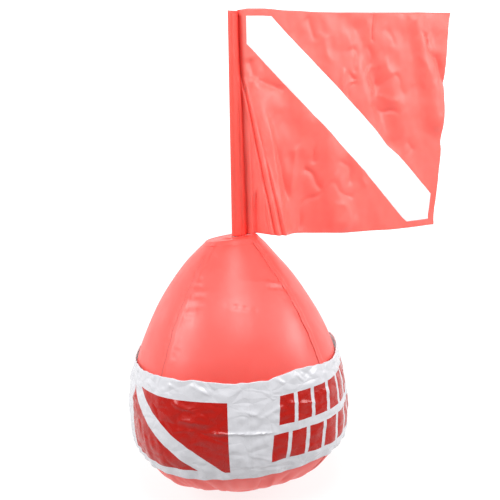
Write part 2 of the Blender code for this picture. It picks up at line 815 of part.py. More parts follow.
def make_tow_point(vinyl, webbing, metal):
    """The welded patch, the webbing eye and the D-ring that hangs in it."""
    frame = add_empty("tow_frame", surface_frame(math.pi / 2, TOW_HEIGHT))
    top = GAP + TOW_PATCH_THICKNESS
    patch = [(0.0, GAP, 1)]
    patch += [(TOW_PATCH_RADIUS * k / 2, GAP, 1) for k in (1, 2)]
    patch += [(TOW_PATCH_RADIUS * k / 2, top, 1) for k in (2, 1)]
    patch += [(0.0, top, 1)]
    bm = welded_patch(math.pi / 2, TOW_HEIGHT, patch, CAP_SEGMENTS // 2)
    inner = [edge for edge in bm.edges if not edge.is_manifold]
    bmesh.ops.delete(bm, geom=inner, context="EDGES")
    add_object("tow_patch", bm, vinyl, frame)

    eye_bore = RING_WIRE + RING_EASE
    eye_radius = eye_bore + EYE_WALL
    strap_bottom = top + GAP
    eye_height = strap_bottom + eye_radius
    meet = math.asin((STRAP_THICKNESS - eye_radius) / eye_radius)
    sweep = math.tau - math.pi / 2 - meet
    arc = [-math.pi / 2 - sweep * k / RING_ARC_STEPS for k in range(RING_ARC_STEPS + 1)]
    outer = [
        (STRAP_RISE, strap_bottom),
        *[(-STRAP_DROP + eye_radius * math.cos(a), eye_height + eye_radius * math.sin(a)) for a in arc],
        (STRAP_RISE, strap_bottom + STRAP_THICKNESS),
    ]
    turns = [math.tau * k / RING_ARC_STEPS for k in range(RING_ARC_STEPS)]
    bore = [(-STRAP_DROP + eye_bore * math.cos(a), eye_height + eye_bore * math.sin(a)) for a in turns]
    strap = bmesh.new()
    edges = []
    for loop in (outer, bore):
        corners = [strap.verts.new((-STRAP_WIDTH / 2, y, z)) for y, z in loop]
        edges += [strap.edges.new((a, b)) for a, b in zip(corners, corners[1:] + corners[:1])]
    bmesh.ops.triangle_fill(strap, edges=edges, use_beauty=True)
    grown = bmesh.ops.extrude_face_region(strap, geom=strap.faces[:])
    moved = [item for item in grown["geom"] if isinstance(item, bmesh.types.BMVert)]
    bmesh.ops.translate(strap, verts=moved, vec=(STRAP_WIDTH, 0, 0))
    add_object("tow_strap", strap, webbing, frame)

    eye = surface_frame(math.pi / 2, TOW_HEIGHT) @ Vector((0, -STRAP_DROP, eye_height))
    ring_curve = bpy.data.curves.new("tow_ring", "CURVE")
    ring_curve.dimensions = "3D"
    ring_curve.bevel_depth = RING_WIRE
    ring_curve.bevel_resolution = RING_SIDES
    spline = ring_curve.splines.new("POLY")
    path = ring_path()
    spline.points.add(len(path) - 1)
    for point, (x, down) in zip(spline.points, path):
        point.co = (x, 0, -down, 1)
    spline.use_cyclic_u = True
    ring_curve.materials.append(metal)
    ring = bpy.data.objects.new("tow_ring", ring_curve)
    ring.location = eye
    bpy.context.collection.objects.link(ring)


def ring_path():
    """Centre line of the D-ring, as places across and down from its straight bar's middle."""
    inner = RING_HALF_WIDTH - RING_CORNER
    turns = [math.pi / 2 * k / RING_CORNER_STEPS for k in range(RING_CORNER_STEPS + 1)]
    corner = [(inner + RING_CORNER * math.sin(a), RING_CORNER * (1 - math.cos(a))) for a in turns]
    bows = [math.pi * k / RING_ARC_STEPS for k in range(RING_ARC_STEPS + 1)]
    bow = [(RING_HALF_WIDTH * math.cos(a), RING_SHANK + RING_HALF_WIDTH * math.sin(a)) for a in bows]
    return [*corner, *bow, *((-across, down) for across, down in reversed(corner))]


def main():
    """Build the float."""
    clear_scene()
    red_vinyl = finish("red_vinyl", (0.86, 0.08, 0.05), roughness=0.35)
    flag_vinyl = finish("flag_vinyl", (0.85, 0.10, 0.06), roughness=0.5)
    white_vinyl = finish("white_vinyl", (0.88, 0.88, 0.88), roughness=0.3)
    clear_plastic = finish("valve_plastic", (0.80, 0.78, 0.76), roughness=0.4)
    white_plastic = finish("white_plastic", (0.85, 0.85, 0.83), roughness=0.4)
    black_plastic = finish("black_plastic", (0.02, 0.02, 0.02), roughness=0.5)
    webbing = finish("webbing", (0.03, 0.03, 0.03), roughness=0.9)
    steel = finish("stainless_steel", (0.62, 0.62, 0.63), roughness=0.25, metallic=1.0)
    iron = finish("cast_iron", (0.15, 0.15, 0.16), roughness=0.6, metallic=1.0)

    lean = Matrix.Rotation(MAST_LEAN, 4, "Y")
    mast_axis = add_empty("mast_axis", Matrix.Translation((MAST_OFFSET, 0, BODY_HEIGHT)) @ lean)
    flag_axis = add_empty("flag_axis", Matrix.Rotation(FLAG_SWING, 4, "Z"), mast_axis)

    gores = make_gores(red_vinyl)
    make_caps(red_vinyl, mast_axis)
    make_band(white_vinyl)
    make_ballast(red_vinyl, iron)
    make_socket(white_plastic, mast_axis)
    make_mast(white_plastic, black_plastic, mast_axis)
    make_sleeve(flag_vinyl, flag_axis)
    make_flag(flag_vinyl, white_vinyl, flag_axis)
    make_valve(clear_plastic, gores[GORE_NAMES.index("gore_back")])
    make_tow_point(red_vinyl, webbing, steel)


main()
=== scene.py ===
"""Looks of an inflatable dive flag float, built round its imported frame.

Metres, +Z up, in the frame of the CAD model: the float stands on the origin, its flag flies towards +X and
the viewer stands at -Y. Azimuths are radians round +Z from +X, and degrees from the front are positive
towards +X.
"""

import json
import logging
import math
import random
from collections.abc import Callable, Sequence
from dataclasses import dataclass
from enum import Enum

import bmesh
import bpy
import numpy as np
from mathutils import Matrix, Vector

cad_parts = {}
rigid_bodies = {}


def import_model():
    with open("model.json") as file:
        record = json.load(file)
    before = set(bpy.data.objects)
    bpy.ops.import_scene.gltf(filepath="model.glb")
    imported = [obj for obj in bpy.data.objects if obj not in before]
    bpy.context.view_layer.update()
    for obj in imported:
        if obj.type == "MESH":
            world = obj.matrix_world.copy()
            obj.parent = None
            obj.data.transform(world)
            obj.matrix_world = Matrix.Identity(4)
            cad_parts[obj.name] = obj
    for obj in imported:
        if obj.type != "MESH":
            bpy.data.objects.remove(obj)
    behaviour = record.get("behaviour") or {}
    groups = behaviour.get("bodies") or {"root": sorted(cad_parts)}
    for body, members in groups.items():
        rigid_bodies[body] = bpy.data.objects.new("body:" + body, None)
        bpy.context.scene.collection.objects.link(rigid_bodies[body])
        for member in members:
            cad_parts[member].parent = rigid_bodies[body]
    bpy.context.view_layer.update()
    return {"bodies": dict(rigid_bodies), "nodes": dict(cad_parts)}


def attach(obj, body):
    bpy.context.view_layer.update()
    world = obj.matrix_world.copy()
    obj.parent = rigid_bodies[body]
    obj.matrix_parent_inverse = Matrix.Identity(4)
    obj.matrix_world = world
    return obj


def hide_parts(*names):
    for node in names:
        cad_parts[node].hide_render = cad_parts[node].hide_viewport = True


LOG = logging.getLogger("float")

Pair = tuple[float, float]
Triple = tuple[float, float, float]
Array = np.ndarray
Place = Callable[[Array, Array], Array]
Sheet = bmesh.types.BMesh
Material = bpy.types.Material
Node = bpy.types.Node
Socket = bpy.types.NodeSocket

SKIN = 0.0008
GAP = 0.0003
LAP_STEP = SKIN + GAP
MERGE = 0.02 * GAP
HOLE_REACH = 0.01
FRONT = math.radians(-90)
SMOOTH_ANGLE = math.radians(40)


class Side(Enum):
    """The two ends of the body that a cap closes."""

    TOP = 1
    BASE = -1


def linear(colour: str) -> tuple[float, float, float, float]:
    """Linear colour of an sRGB hex value.

    Args:
        colour: six hex digits after a hash.

    Returns:
        Red, green, blue and a full alpha.
    """
    parts = [int(colour[k : k + 2], 16) / 255 for k in (1, 3, 5)]
    red, green, blue = [c / 12.92 if c <= 0.04045 else ((c + 0.055) / 1.055) ** 2.4 for c in parts]
    return red, green, blue, 1.0


class Nodes:
    """The nodes of one new material."""

    def __init__(self, name: str) -> None:
        """Start the material.

        Args:
            name: its name.
        """
        self.material = bpy.data.materials.new(name)
        self.material.use_nodes = True
        self.tree = self.material.node_tree

    def fill(self, node: Node, settings: dict, links: dict) -> None:
        """Set a node's inputs and feed them.

        Args:
            node: the node.
            settings: value of each named or numbered input.
            links: output socket that feeds each named or numbered input.
        """
        for key, value in settings.items():
            node.inputs[key].default_value = value
        for key, socket in links.items():
            self.tree.links.new(socket, node.inputs[key])

    def add(
        self, kind: str, settings: dict | None = None, links: dict | None = None, **fields: object
    ) -> Node:
        """Add a node.

        Args:
            kind: the node's type.
            settings: value of each named or numbered input.
            links: output socket that feeds each named or numbered input.
            fields: the node's own properties.

        Returns:
            The new node.
        """
        node = self.tree.nodes.new(kind)
        for key, value in fields.items():
            setattr(node, key, value)
        self.fill(node, settings or {}, links or {})
        return node

    def finish(self, settings: dict, links: dict) -> Material:
        """Set and feed the shader's inputs, and give the material back."""
        self.fill(self.tree.nodes["Principled BSDF"], settings, links)
        return self.material

    def place(self) -> Socket:
        """Places on the piece, in its own metres."""
        return self.add("ShaderNodeTexCoord").outputs["Object"]

    def noise(self, pitch_mm: float, detail: float, roughness: float = 0.5) -> Node:
        """Soft noise over a piece, by the size of its patches, its finer layers and their strength."""
        settings = {"Scale": 1000 / pitch_mm, "Detail": detail, "Roughness": roughness}
        return self.add("ShaderNodeTexNoise", settings, {"Vector": self.place()})

    def bump(self, depth_mm: float, height: Socket, under: Socket | None = None) -> Socket:
        """Normal of a surface that a height raises.

        Args:
            depth_mm: how far a height of 1 raises it.
            height: the height.
            under: normal of the coarser form, if there is one.

        Returns:
            The new normal.
        """
        links = {"Height": height, "Normal": under} if under else {"Height": height}
        settings = {"Strength": 1.0, "Distance": depth_mm / 1000}
        return self.add("ShaderNodeBump", settings, links).outputs["Normal"]

    def mix(self, share: Socket, first: str | Socket, second: str) -> Socket:
        """Blend of two colours.

        Args:
            share: share of the second colour.
            first: a hex value or a socket.
            second: a hex value.

        Returns:
            The blend.
        """
        settings = {"B": linear(second)}
        links = {"Factor": share}
        if isinstance(first, str):
            settings["A"] = linear(first)
        else:
            links["A"] = first
        return self.add("ShaderNodeMix", settings, links, data_type="RGBA").outputs["Result"]

    def range(self, value: Socket, to: Pair, start: float = 0.0, end: float = 1.0) -> Socket:
        """Value brought evenly from one range, 0 to 1 if not given, to another."""
        settings = {"From Min": start, "From Max": end, "To Min": to[0], "To Max": to[1]}
        return self.add("ShaderNodeMapRange", settings, {"Value": value}).outputs["Result"]

    def math(self, operation: str, *values: float | Socket) -> Socket:
        """Result of a Math node.

        Args:
            operation: what the node does.
            values: numbers and sockets, in the order of its inputs.

        Returns:
            The socket that holds the result.
        """
        settings = {place: value for place, value in enumerate(values) if isinstance(value, float)}
        links = {place: value for place, value in enumerate(values) if not isinstance(value, float)}
        return self.add("ShaderNodeMath", settings, links, operation=operation).outputs[0]

    def both(self, first: Socket, second: Socket) -> Socket:
        """1 where two sockets are 1, and 0 elsewhere."""
        return self.math("MULTIPLY", first, second)

    def within(self, value: Socket, limits: Pair) -> Socket:
        """1 where a value lies between two limits, and 0 elsewhere."""
        low, high = limits
        return self.both(self.math("GREATER_THAN", value, low), self.math("LESS_THAN", value, high))


def smooth_step(x: Array) -> Array:
    """0 below 0, 1 above 1 and an even ease between them."""
    x = np.clip(x, 0, 1)
    return x * x * (3 - 2 * x)


def eased(x: Array, places: Sequence[float], values: Sequence[float]) -> Array:
    """Values at some places, joined by even eases.

    Args:
        x: where the values are wanted.
        places: rising places.
        values: the value at each place.

    Returns:
        The value at each x.
    """
    x = np.clip(x, places[0], places[-1])
    after = np.clip(np.searchsorted(places, x, side="right"), 1, len(places) - 1)
    start, end = np.array(places)[after - 1], np.array(places)[after]
    low, high = np.array(values)[after - 1], np.array(values)[after]
    return low + (high - low) * smooth_step((x - start) / (end - start))


def ripples(points: Array, wavelength: float, seed: int, count: int = 14) -> Array:
    """Soft unevenness that is the same wherever two sheets meet.

    Args:
        points: places in space, or on a flat sheet.
        wavelength: usual distance between two crests.
        seed: which unevenness.
        count: how many plain waves it is made of.

    Returns:
        A height between about -1 and 1 for each point.
    """
    draw = random.Random(seed)
    total = np.zeros(points.shape[:-1])
    for _ in range(count):
        direction = np.array([draw.gauss(0, 1) for _ in range(points.shape[-1])])
        direction *= math.tau / wavelength * draw.uniform(0.6, 1.5) / np.linalg.norm(direction)
        total += np.cos(points @ direction + draw.uniform(0, math.tau))
    return total / math.sqrt(2 * count)


@dataclass(frozen=True)
class Crease:
    """A straight fold of a sheet between two places on it, with a rounded crest and long flanks."""

    start: Pair
    end: Pair
    width: float
    height: float
    end_width: float | None = None
    open_end: bool = False
    open_start: bool = False

    def relief(self, across: Array, along: Array, stretch: Array | float = 1.0) -> Array:
        """Height of the fold over a sheet.

        Args:
            across: first coordinate of each place.
            along: second coordinate of each place.
            stretch: metres to one unit of the first coordinate.

        Returns:
            How far the sheet stands out at each place.
        """
        x = (across - self.start[0]) * stretch
        y = along - self.start[1]
        line_x = (self.end[0] - self.start[0]) * stretch
        line_y = self.end[1] - self.start[1]
        length = np.sqrt(line_x**2 + line_y**2)
        share = np.clip((x * line_x + y * line_y) / length**2, 0, 1)
        distance = np.hypot(x - share * line_x, y - share * line_y)
        width = self.width + ((self.end_width or self.width) - self.width) * share
        crest = np.exp((0.3 * width - np.sqrt(distance**2 + (0.3 * width) ** 2)) / width * 1.6)
        fade = 1.0 if self.open_start else smooth_step(share * 4)
        if not self.open_end:
            fade = fade * smooth_step((1 - share) * 4)
        return self.height * crest * fade


def draped_sheet(
    columns: Sequence[float],
    rows: Sequence[float],
    place: Place,
    flat: Place,
    weld: Place | None = None,
    closed: bool = False,
    inside_out: bool = False,
) -> Sheet:
    """Grid of cloth that is moved from its flat cut to its place.

    Args:
        columns: first coordinates of the grid's lines.
        rows: second coordinates of the grid's lines.
        place: gives the points in space of flat coordinates.
        flat: gives the cut's own metres, for the UV map.
        weld: gives how far each place takes the deeper weld colour, which marks welds and also paints shade
            beside them.
        closed: whether the last column or row meets the first.
        inside_out: whether the grid's own faces look inwards.

    Returns:
        The sheet, one layer thick, with its UV map.
    """
    bm = bmesh.new()
    uv = bm.loops.layers.uv.new("flat")
    bmesh.ops.create_grid(bm, x_segments=len(columns) - 1, y_segments=len(rows) - 1, size=0.5)
    shares = np.array([vert.co[:2] for vert in bm.verts]) + 0.5
    u = np.interp(shares[:, 0], np.linspace(0, 1, len(columns)), columns)
    v = np.interp(shares[:, 1], np.linspace(0, 1, len(rows)), rows)
    cut = flat(u, v)
    points = place(u, v)
    marks = weld(u, v) if weld else np.zeros(len(u))
    mark = bm.verts.layers.float.new("weld")
    bm.verts.index_update()
    for face in bm.faces:
        for loop in face.loops:
            loop[uv].uv = cut[loop.vert.index]
    for vert, point, share in zip(bm.verts, points, marks):
        vert.co = point
        vert[mark] = share
    if closed:
        bmesh.ops.remove_doubles(bm, verts=bm.verts, dist=MERGE)
    if inside_out:
        bmesh.ops.reverse_faces(bm, faces=bm.faces)
    return bm


def cut_size(bm: Sheet, digits: int = 3) -> tuple[Pair, float]:
    """Width and length of a sheet's flat cut, and its area.

    Args:
        bm: the sheet, with its UV map.
        digits: decimals to round the width and length to.

    Returns:
        Width and length, and the area.
    """
    uv = bm.loops.layers.uv["flat"]
    area = 0.0
    corners = []
    for face in bm.faces:
        cut = [loop[uv].uv for loop in face.loops]
        turns = zip(cut, cut[1:] + cut[:1])
        area += abs(sum(a.x * b.y - b.x * a.y for a, b in turns)) / 2
        corners += cut
    width, length = (max(c[k] for c in corners) - min(c[k] for c in corners) for k in (0, 1))
    return (round(width, digits), round(length, digits)), area


def close_middle(bm: Sheet, middle: Sequence[float]) -> None:
    """Fill the small round hole that a closed sheet leaves in its middle.

    Args:
        bm: the sheet.
        middle: the place of the hole.
    """
    rims = [edge for edge in bm.edges if edge.is_boundary]
    hole = [edge for edge in rims if (edge.verts[0].co - Vector(middle)).length < HOLE_REACH]
    bmesh.ops.contextual_create(bm, geom=hole)


def run_along(x: Array, y: Array) -> Array:
    """Distance of each corner of a line from its first one."""
    return np.concatenate([[0.0], np.cumsum(np.hypot(np.diff(x), np.diff(y)))])


def ring_places(radius: Array | float, turn: Array) -> Array:
    """Flat places at a radius and a turn."""
    return np.stack([radius * np.cos(turn), radius * np.sin(turn)], axis=-1)


def carried(points: Array, frame: Array) -> Array:
    """Points carried from a frame's own coordinates to those that the frame is given in."""
    return points @ frame[:3, :3].T + frame[:3, 3]


def hump(x: Array, width: float) -> Array:
    """1 at 0, and a bell that falls off by its width."""
    return np.exp(-((x / width) ** 2))


def turn_from_front(azimuth: Array) -> Array:
    """Degrees from the front, positive towards +X."""
    return np.degrees(azimuth - FRONT + math.pi) % 360 - 180


def creased(creases: Sequence[Crease], azimuth: Array, rise: Array, radius: Array | float) -> Array:
    """How far the folds of a sheet that goes round the body stand out.

    Args:
        creases: the folds, by azimuth and rise.
        azimuth: azimuth of each place.
        rise: distance of each place above the belly.
        radius: metres to one radian there.

    Returns:
        The height at each place.
    """
    total = np.zeros_like(rise)
    for crease in creases:
        for turn in (-math.tau, 0.0, math.tau):
            total += crease.relief(azimuth + turn, rise, radius)
    return total


def show(name: str, data: bpy.types.ID) -> bpy.types.Object:
    """New object in the scene.

    Args:
        name: its name.
        data: its mesh, light or camera.

    Returns:
        The object, linked to the scene.
    """
    shown = bpy.data.objects.new(name, data)
    bpy.context.collection.objects.link(shown)
    return shown


def new_piece(
    name: str,
    bm: Sheet,
    material: Material,
    body: str,
    slot: str,
    nodes: Sequence[str] = (),
    wall: float = 0.0,
    offset: float = -1.0,
    back: Material | None = None,
) -> bpy.types.Object:
    """Turn a bmesh into a piece that rides on a body.

    Args:
        name: the piece's name.
        bm: its mesh, in its place in the frame.
        material: its finish.
        body: the CAD body that it moves with.
        slot: the record's material slot; not used.
        nodes: the CAD nodes that it stands for.
        wall: thickness to give a sheet of one layer.
        offset: which side of the sheet the wall grows on.
        back: finish of the sheet's back and edges, if it isn't the same.

    Returns:
        The new object.
    """
    mesh = bpy.data.meshes.new(name)
    bm.to_mesh(mesh)
    bm.free()
    mesh.shade_smooth()
    mesh.set_sharp_from_angle(angle=SMOOTH_ANGLE)
    mesh.materials.append(material)
    piece = show(name, mesh)
    if wall:
        solid = piece.modifiers.new("wall", "SOLIDIFY")
        solid.thickness = wall
        solid.offset = offset
        if back:
            mesh.materials.append(back)
            solid.material_offset = 1
            solid.material_offset_rim = 1
    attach(piece, body)
    if nodes:
        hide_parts(*nodes)
    LOG.info("%s: %d faces on %s", name, len(mesh.polygons), body)
    return piece


@dataclass(frozen=True)
class VinylFinish:
    """Calendered PVC film, coloured right through: a soft broad gloss over faint orange peel and waves.

    A weld is a deeper red than the single film, as two plies let less light through. The same deeper red is
    also painted as shade: beside lap edges, where a gap lies under the upper ply, and down the flag's groove.
    """

    name: str
    colour: str
    deep_colour: str
    # Deeper red of welds, also used as painted shade beside laps and down grooves.
    weld_and_shade_colour: str = "#A02019"
    roughness: float = 0.36
    specular: float = 0.5
    # The calender's orange peel is about 0.5 mm apart, and is drawn coarser so that it shows.
    peel_mm: float = 1.6
    peel_depth_mm: float = 0.012
    wave_mm: float = 26.0
    wave_depth_mm: float = 0.25
    crinkle_mm: float = 0.0
    crinkle_depth_mm: float = 0.5
    crinkle_bend: float = 0.05
    crinkle_bend_mm: float = 1000 / 14
    crinkle_flatness: float = 1.8
    cloud_mm: float = 1000 / 9
    gloss_spread: Pair = (-0.03, 0.05)
    through: float = 0.0
    through_radius: Triple = (1.0, 0.12, 0.08)
    through_reach: float = 0.006

    def crinkle(self, nodes: Nodes) -> Socket:
        """Sharp handling creases between flat facets, which run more round the piece than up it.

        Args:
            nodes: the material's nodes.

        Returns:
            The normal of the creased film.
        """
        warp = nodes.noise(self.crinkle_bend_mm, detail=2.0).outputs["Color"]
        bend = {1: (self.crinkle_bend,) * 3}
        links = {0: warp, 2: nodes.place()}
        bent = nodes.add("ShaderNodeVectorMath", bend, links, operation="MULTIPLY_ADD")
        squash = {"Scale": (1.0, 1.0, self.crinkle_flatness)}
        squashed = nodes.add("ShaderNodeMapping", squash, {"Vector": bent.outputs["Vector"]})
        pitch = {"Scale": 1000 / self.crinkle_mm}
        links = {"Vector": squashed.outputs["Vector"]}
        cells = nodes.add("ShaderNodeTexVoronoi", pitch, links, feature="DISTANCE_TO_EDGE")
        return nodes.bump(self.crinkle_depth_mm, cells.outputs["Distance"])

    def shade(self, nodes: Nodes) -> Socket:
        """Colour of the film, a little deeper in soft patches as thin and thick film is.

        Args:
            nodes: the material's nodes.

        Returns:
            The socket that holds the colour.
        """
        cloud = nodes.noise(self.cloud_mm, detail=2.0).outputs["Fac"]
        film = nodes.mix(cloud, self.colour, self.deep_colour)
        # The weld attribute mixes in the weld colour: the real doubled film at welds, and painted shade by
        # lap edges and in grooves.
        weld = nodes.add("ShaderNodeAttribute", attribute_name="weld").outputs["Fac"]
        return nodes.mix(weld, film, self.weld_and_shade_colour)

    def make(self) -> Material:
        """Build the material.

        Returns:
            The finished material.
        """
        nodes = Nodes(self.name)
        peel = nodes.noise(self.peel_mm, detail=1.0).outputs["Fac"]
        wave = nodes.noise(self.wave_mm, detail=2.0, roughness=0.45).outputs["Fac"]
        facets = self.crinkle(nodes) if self.crinkle_mm else None
        waves = nodes.bump(self.wave_depth_mm, wave, facets)
        gloss = (self.roughness + self.gloss_spread[0], self.roughness + self.gloss_spread[1])
        settings = {
            "IOR": 1.53,
            "Specular IOR Level": self.specular,
            "Subsurface Weight": self.through,
            "Subsurface Radius": self.through_radius,
            "Subsurface Scale": self.through_reach,
        }
        links = {
            "Base Color": self.shade(nodes),
            "Roughness": nodes.range(wave, gloss, 0.3, 0.7),
            "Normal": nodes.bump(self.peel_depth_mm, peel, waves),
        }
        return nodes.finish(settings, links)


@dataclass(frozen=True)
class PrintedVinylFinish(VinylFinish):
    """White vinyl film, screen printed in one red ink: a diver-down flag and two rows of slanted bars.

    Places are in metres on the flat band, measured from its weld and from its middle height. The print comes
    twice round the band.
    """

    ink: str = "#B01205"
    repeat: float = 0.57
    rise_share: float = 0.05
    flag_across: Pair = (-0.229, -0.0337)
    flag_up: Pair = (-0.046, 0.0635)
    stripe_lean: float = 0.704
    stripe_middle: Pair = (-0.10, -0.0198)
    stripe_width: float = 0.0245
    bars_from: Pair = (0.042, 0.034)
    bars_to: float = 0.262
    rows_up: tuple[Pair, Pair] = ((0.0220, 0.0650), (-0.0320, 0.0090))
    bar_pitch: float = 0.030
    bar_share: float = 0.80
    bar_lean: float = 0.12

    def shade(self, nodes: Nodes) -> Socket:
        """Colour of the film with its print.

        Args:
            nodes: the material's nodes.

        Returns:
            The socket that holds the colour.
        """
        flat = nodes.add("ShaderNodeUVMap", uv_map="flat").outputs["UV"]
        axes = nodes.add("ShaderNodeSeparateXYZ", links={"Vector": flat}).outputs
        across = nodes.math("WRAP", axes["X"], -self.repeat / 2, self.repeat / 2)
        up = nodes.math("MULTIPLY_ADD", nodes.math("ABSOLUTE", across), -self.rise_share, axes["Y"])
        # The printed flag's red, which leaves its stripe bare.
        block = nodes.both(nodes.within(across, self.flag_across), nodes.within(up, self.flag_up))
        middle = -self.stripe_lean * self.stripe_middle[0] - self.stripe_middle[1]
        level = nodes.math("MULTIPLY_ADD", across, self.stripe_lean, middle)
        half = self.stripe_width / 2 * math.hypot(1, self.stripe_lean)
        on_stripe = nodes.within(nodes.math("ADD", level, up), (-half, half))
        inked = nodes.math("SUBTRACT", block, nodes.both(block, on_stripe))
        # Two rows of slanted bars.
        slid = nodes.math("MULTIPLY_ADD", up, -self.bar_lean, across)
        for start, limits in zip(self.bars_from, self.rows_up):
            past = nodes.math("SUBTRACT", slid, start)
            place = nodes.math("FLOORED_MODULO", past, self.bar_pitch)
            bar = nodes.within(place, (0.0, self.bar_pitch * self.bar_share))
            count = math.floor((self.bars_to - start) / self.bar_pitch)
            row = nodes.within(past, (0.0, self.bar_pitch * count))
            row = nodes.both(row, nodes.within(up, limits))
            inked = nodes.math("MAXIMUM", inked, nodes.both(row, bar))
        return nodes.mix(inked, self.colour, self.ink)


@dataclass(frozen=True)
class MouldedFinish:
    """Moulded or drawn part of one colour, with the faint unevenness of its tool."""

    name: str
    colour: str
    roughness: float = 0.45
    metallic: float = 0.0
    grain_mm: float = 0.8
    grain_depth_mm: float = 0.01
    gloss_spread: float = 0.06

    def make(self) -> Material:
        """Build the material.

        Returns:
            The finished material.
        """
        nodes = Nodes(self.name)
        grain = nodes.noise(self.grain_mm, detail=3.0).outputs["Fac"]
        gloss = (self.roughness - self.gloss_spread, self.roughness + self.gloss_spread)
        links = {"Roughness": nodes.range(grain, gloss), "Normal": nodes.bump(self.grain_depth_mm, grain)}
        return nodes.finish({"Base Color": linear(self.colour), "Metallic": self.metallic}, links)


@dataclass(frozen=True)
class WovenFinish:
    """Flat webbing woven of thick filling and tight warp threads, by metres across and along it."""

    name: str
    colour: str
    # The ribs are the real pitch of the filling threads, and the warp's is 0.6 of it.
    rib_mm: float = 1.2
    rib_depth_mm: float = 0.25
    warp_share: float = 0.6
    # The gaps between the threads are painted near black, as painted shade in the weave's hollows.
    gap_shade_colour: str = "#0B0B0C"
    roughness: float = 0.8

    def make(self) -> Material:
        """Build the material.

        Returns:
            The finished material.
        """
        nodes = Nodes(self.name)
        flat = nodes.add("ShaderNodeUVMap", uv_map="flat").outputs["UV"]
        threads = []
        for direction, rib_mm in (("Y", self.rib_mm), ("X", self.warp_share * self.rib_mm)):
            # A wave texture of scale 1 repeats every pi / 10 units.
            scale = {"Scale": 1000 * math.pi / 10 / rib_mm}
            wave = nodes.add("ShaderNodeTexWave", scale, {"Vector": flat}, bands_direction=direction)
            threads.append(wave.outputs["Fac"])
        weave = nodes.math("MULTIPLY", *threads)
        # Painted shade: the weave's low places take the near black gap colour.
        links = {
            "Base Color": nodes.mix(weave, self.gap_shade_colour, self.colour),
            "Normal": nodes.bump(self.rib_depth_mm, weave),
        }
        return nodes.finish({"Roughness": self.roughness}, links)


# Calendered soft PVC film, blown tight: a broad soft gloss, and a red glow where light comes through it.
BODY_FINISH = VinylFinish("body_vinyl_film", "#FA5046", "#F4463C", roughness=0.43, specular=0.8, through=0.3)
# The same film, hung slack: more matt, with shallow waves 18 mm apart and no shine to speak of, and painted
# paler than the body's film, as painted light for the brighter light on the flag.
FLAG_FINISH_PAINTED_PALER = VinylFinish(
    "flag_vinyl_film_painted_paler",
    "#FC746A",
    "#FA675D",
    roughness=0.48,
    specular=0.6,
    wave_mm=18.0,
    wave_depth_mm=0.15,
    weld_and_shade_colour="#E01C10",
    through=0.35,
)
# Two plies of it, welded into a tube: a deeper red, as less light comes through them.
SLEEVE_FINISH = VinylFinish(
    "doubled_vinyl_film",
    "#FB5E53",
    "#F54E44",
    roughness=0.48,
    specular=0.3,
    wave_mm=18.0,
    weld_and_shade_colour="#E01C10",
    through=0.3,
)
# White calendered PVC film, filled and opaque: bright and even, with hardly a shade in its folds.
STRIPE_FINISH = VinylFinish("stripe_vinyl_film", "#F7F7F7", "#F1F1F2", roughness=0.42, wave_mm=18.0)
# Drawn plastic tube: satin white with one thin highlight down it.
MAST_FINISH = MouldedFinish("drawn_white_tube", "#E6E6E2", roughness=0.4)
# Injection moulded polyethylene: nearly black, with dull highlights on its edges only.
PLUG_FINISH = MouldedFinish("moulded_black_plug", "#1A1A1B", roughness=0.5)
# Dip moulded soft PVC: a warm white with a wide, slightly wet highlight.
SOCKET_FINISH = MouldedFinish("moulded_soft_white_vinyl", "#E9E6DF", roughness=0.35)
# Injection moulded soft PVC: milky, with crisper highlights than the film round it.
VALVE_FINISH = MouldedFinish("moulded_milky_vinyl", "#E4DFD6", roughness=0.3)
# Polypropylene webbing, woven tight on a narrow loom: matt black, with fine ribs that catch the light.
WEBBING_FINISH = WovenFinish("woven_black_webbing", "#26262A")
# Stainless wire, bent, welded and tumbled bright: hard narrow streaks of light and dark.
STEEL_FINISH = MouldedFinish("bright_stainless_wire", "#C9CACB", roughness=0.22, metallic=1.0)
# Twisted polyester thread: matt grey beads that stand out on the black webbing.
THREAD_FINISH = MouldedFinish("polyester_thread", "#3B3B3D", roughness=0.7)
# Sand cast iron: dull dark grey. Its sand grain is drawn coarser than the real 0.3 mm, so that it shows.
IRON_FINISH = MouldedFinish("cast_iron_disc", "#3A3B3D", roughness=0.6, metallic=1.0, grain_depth_mm=0.1)


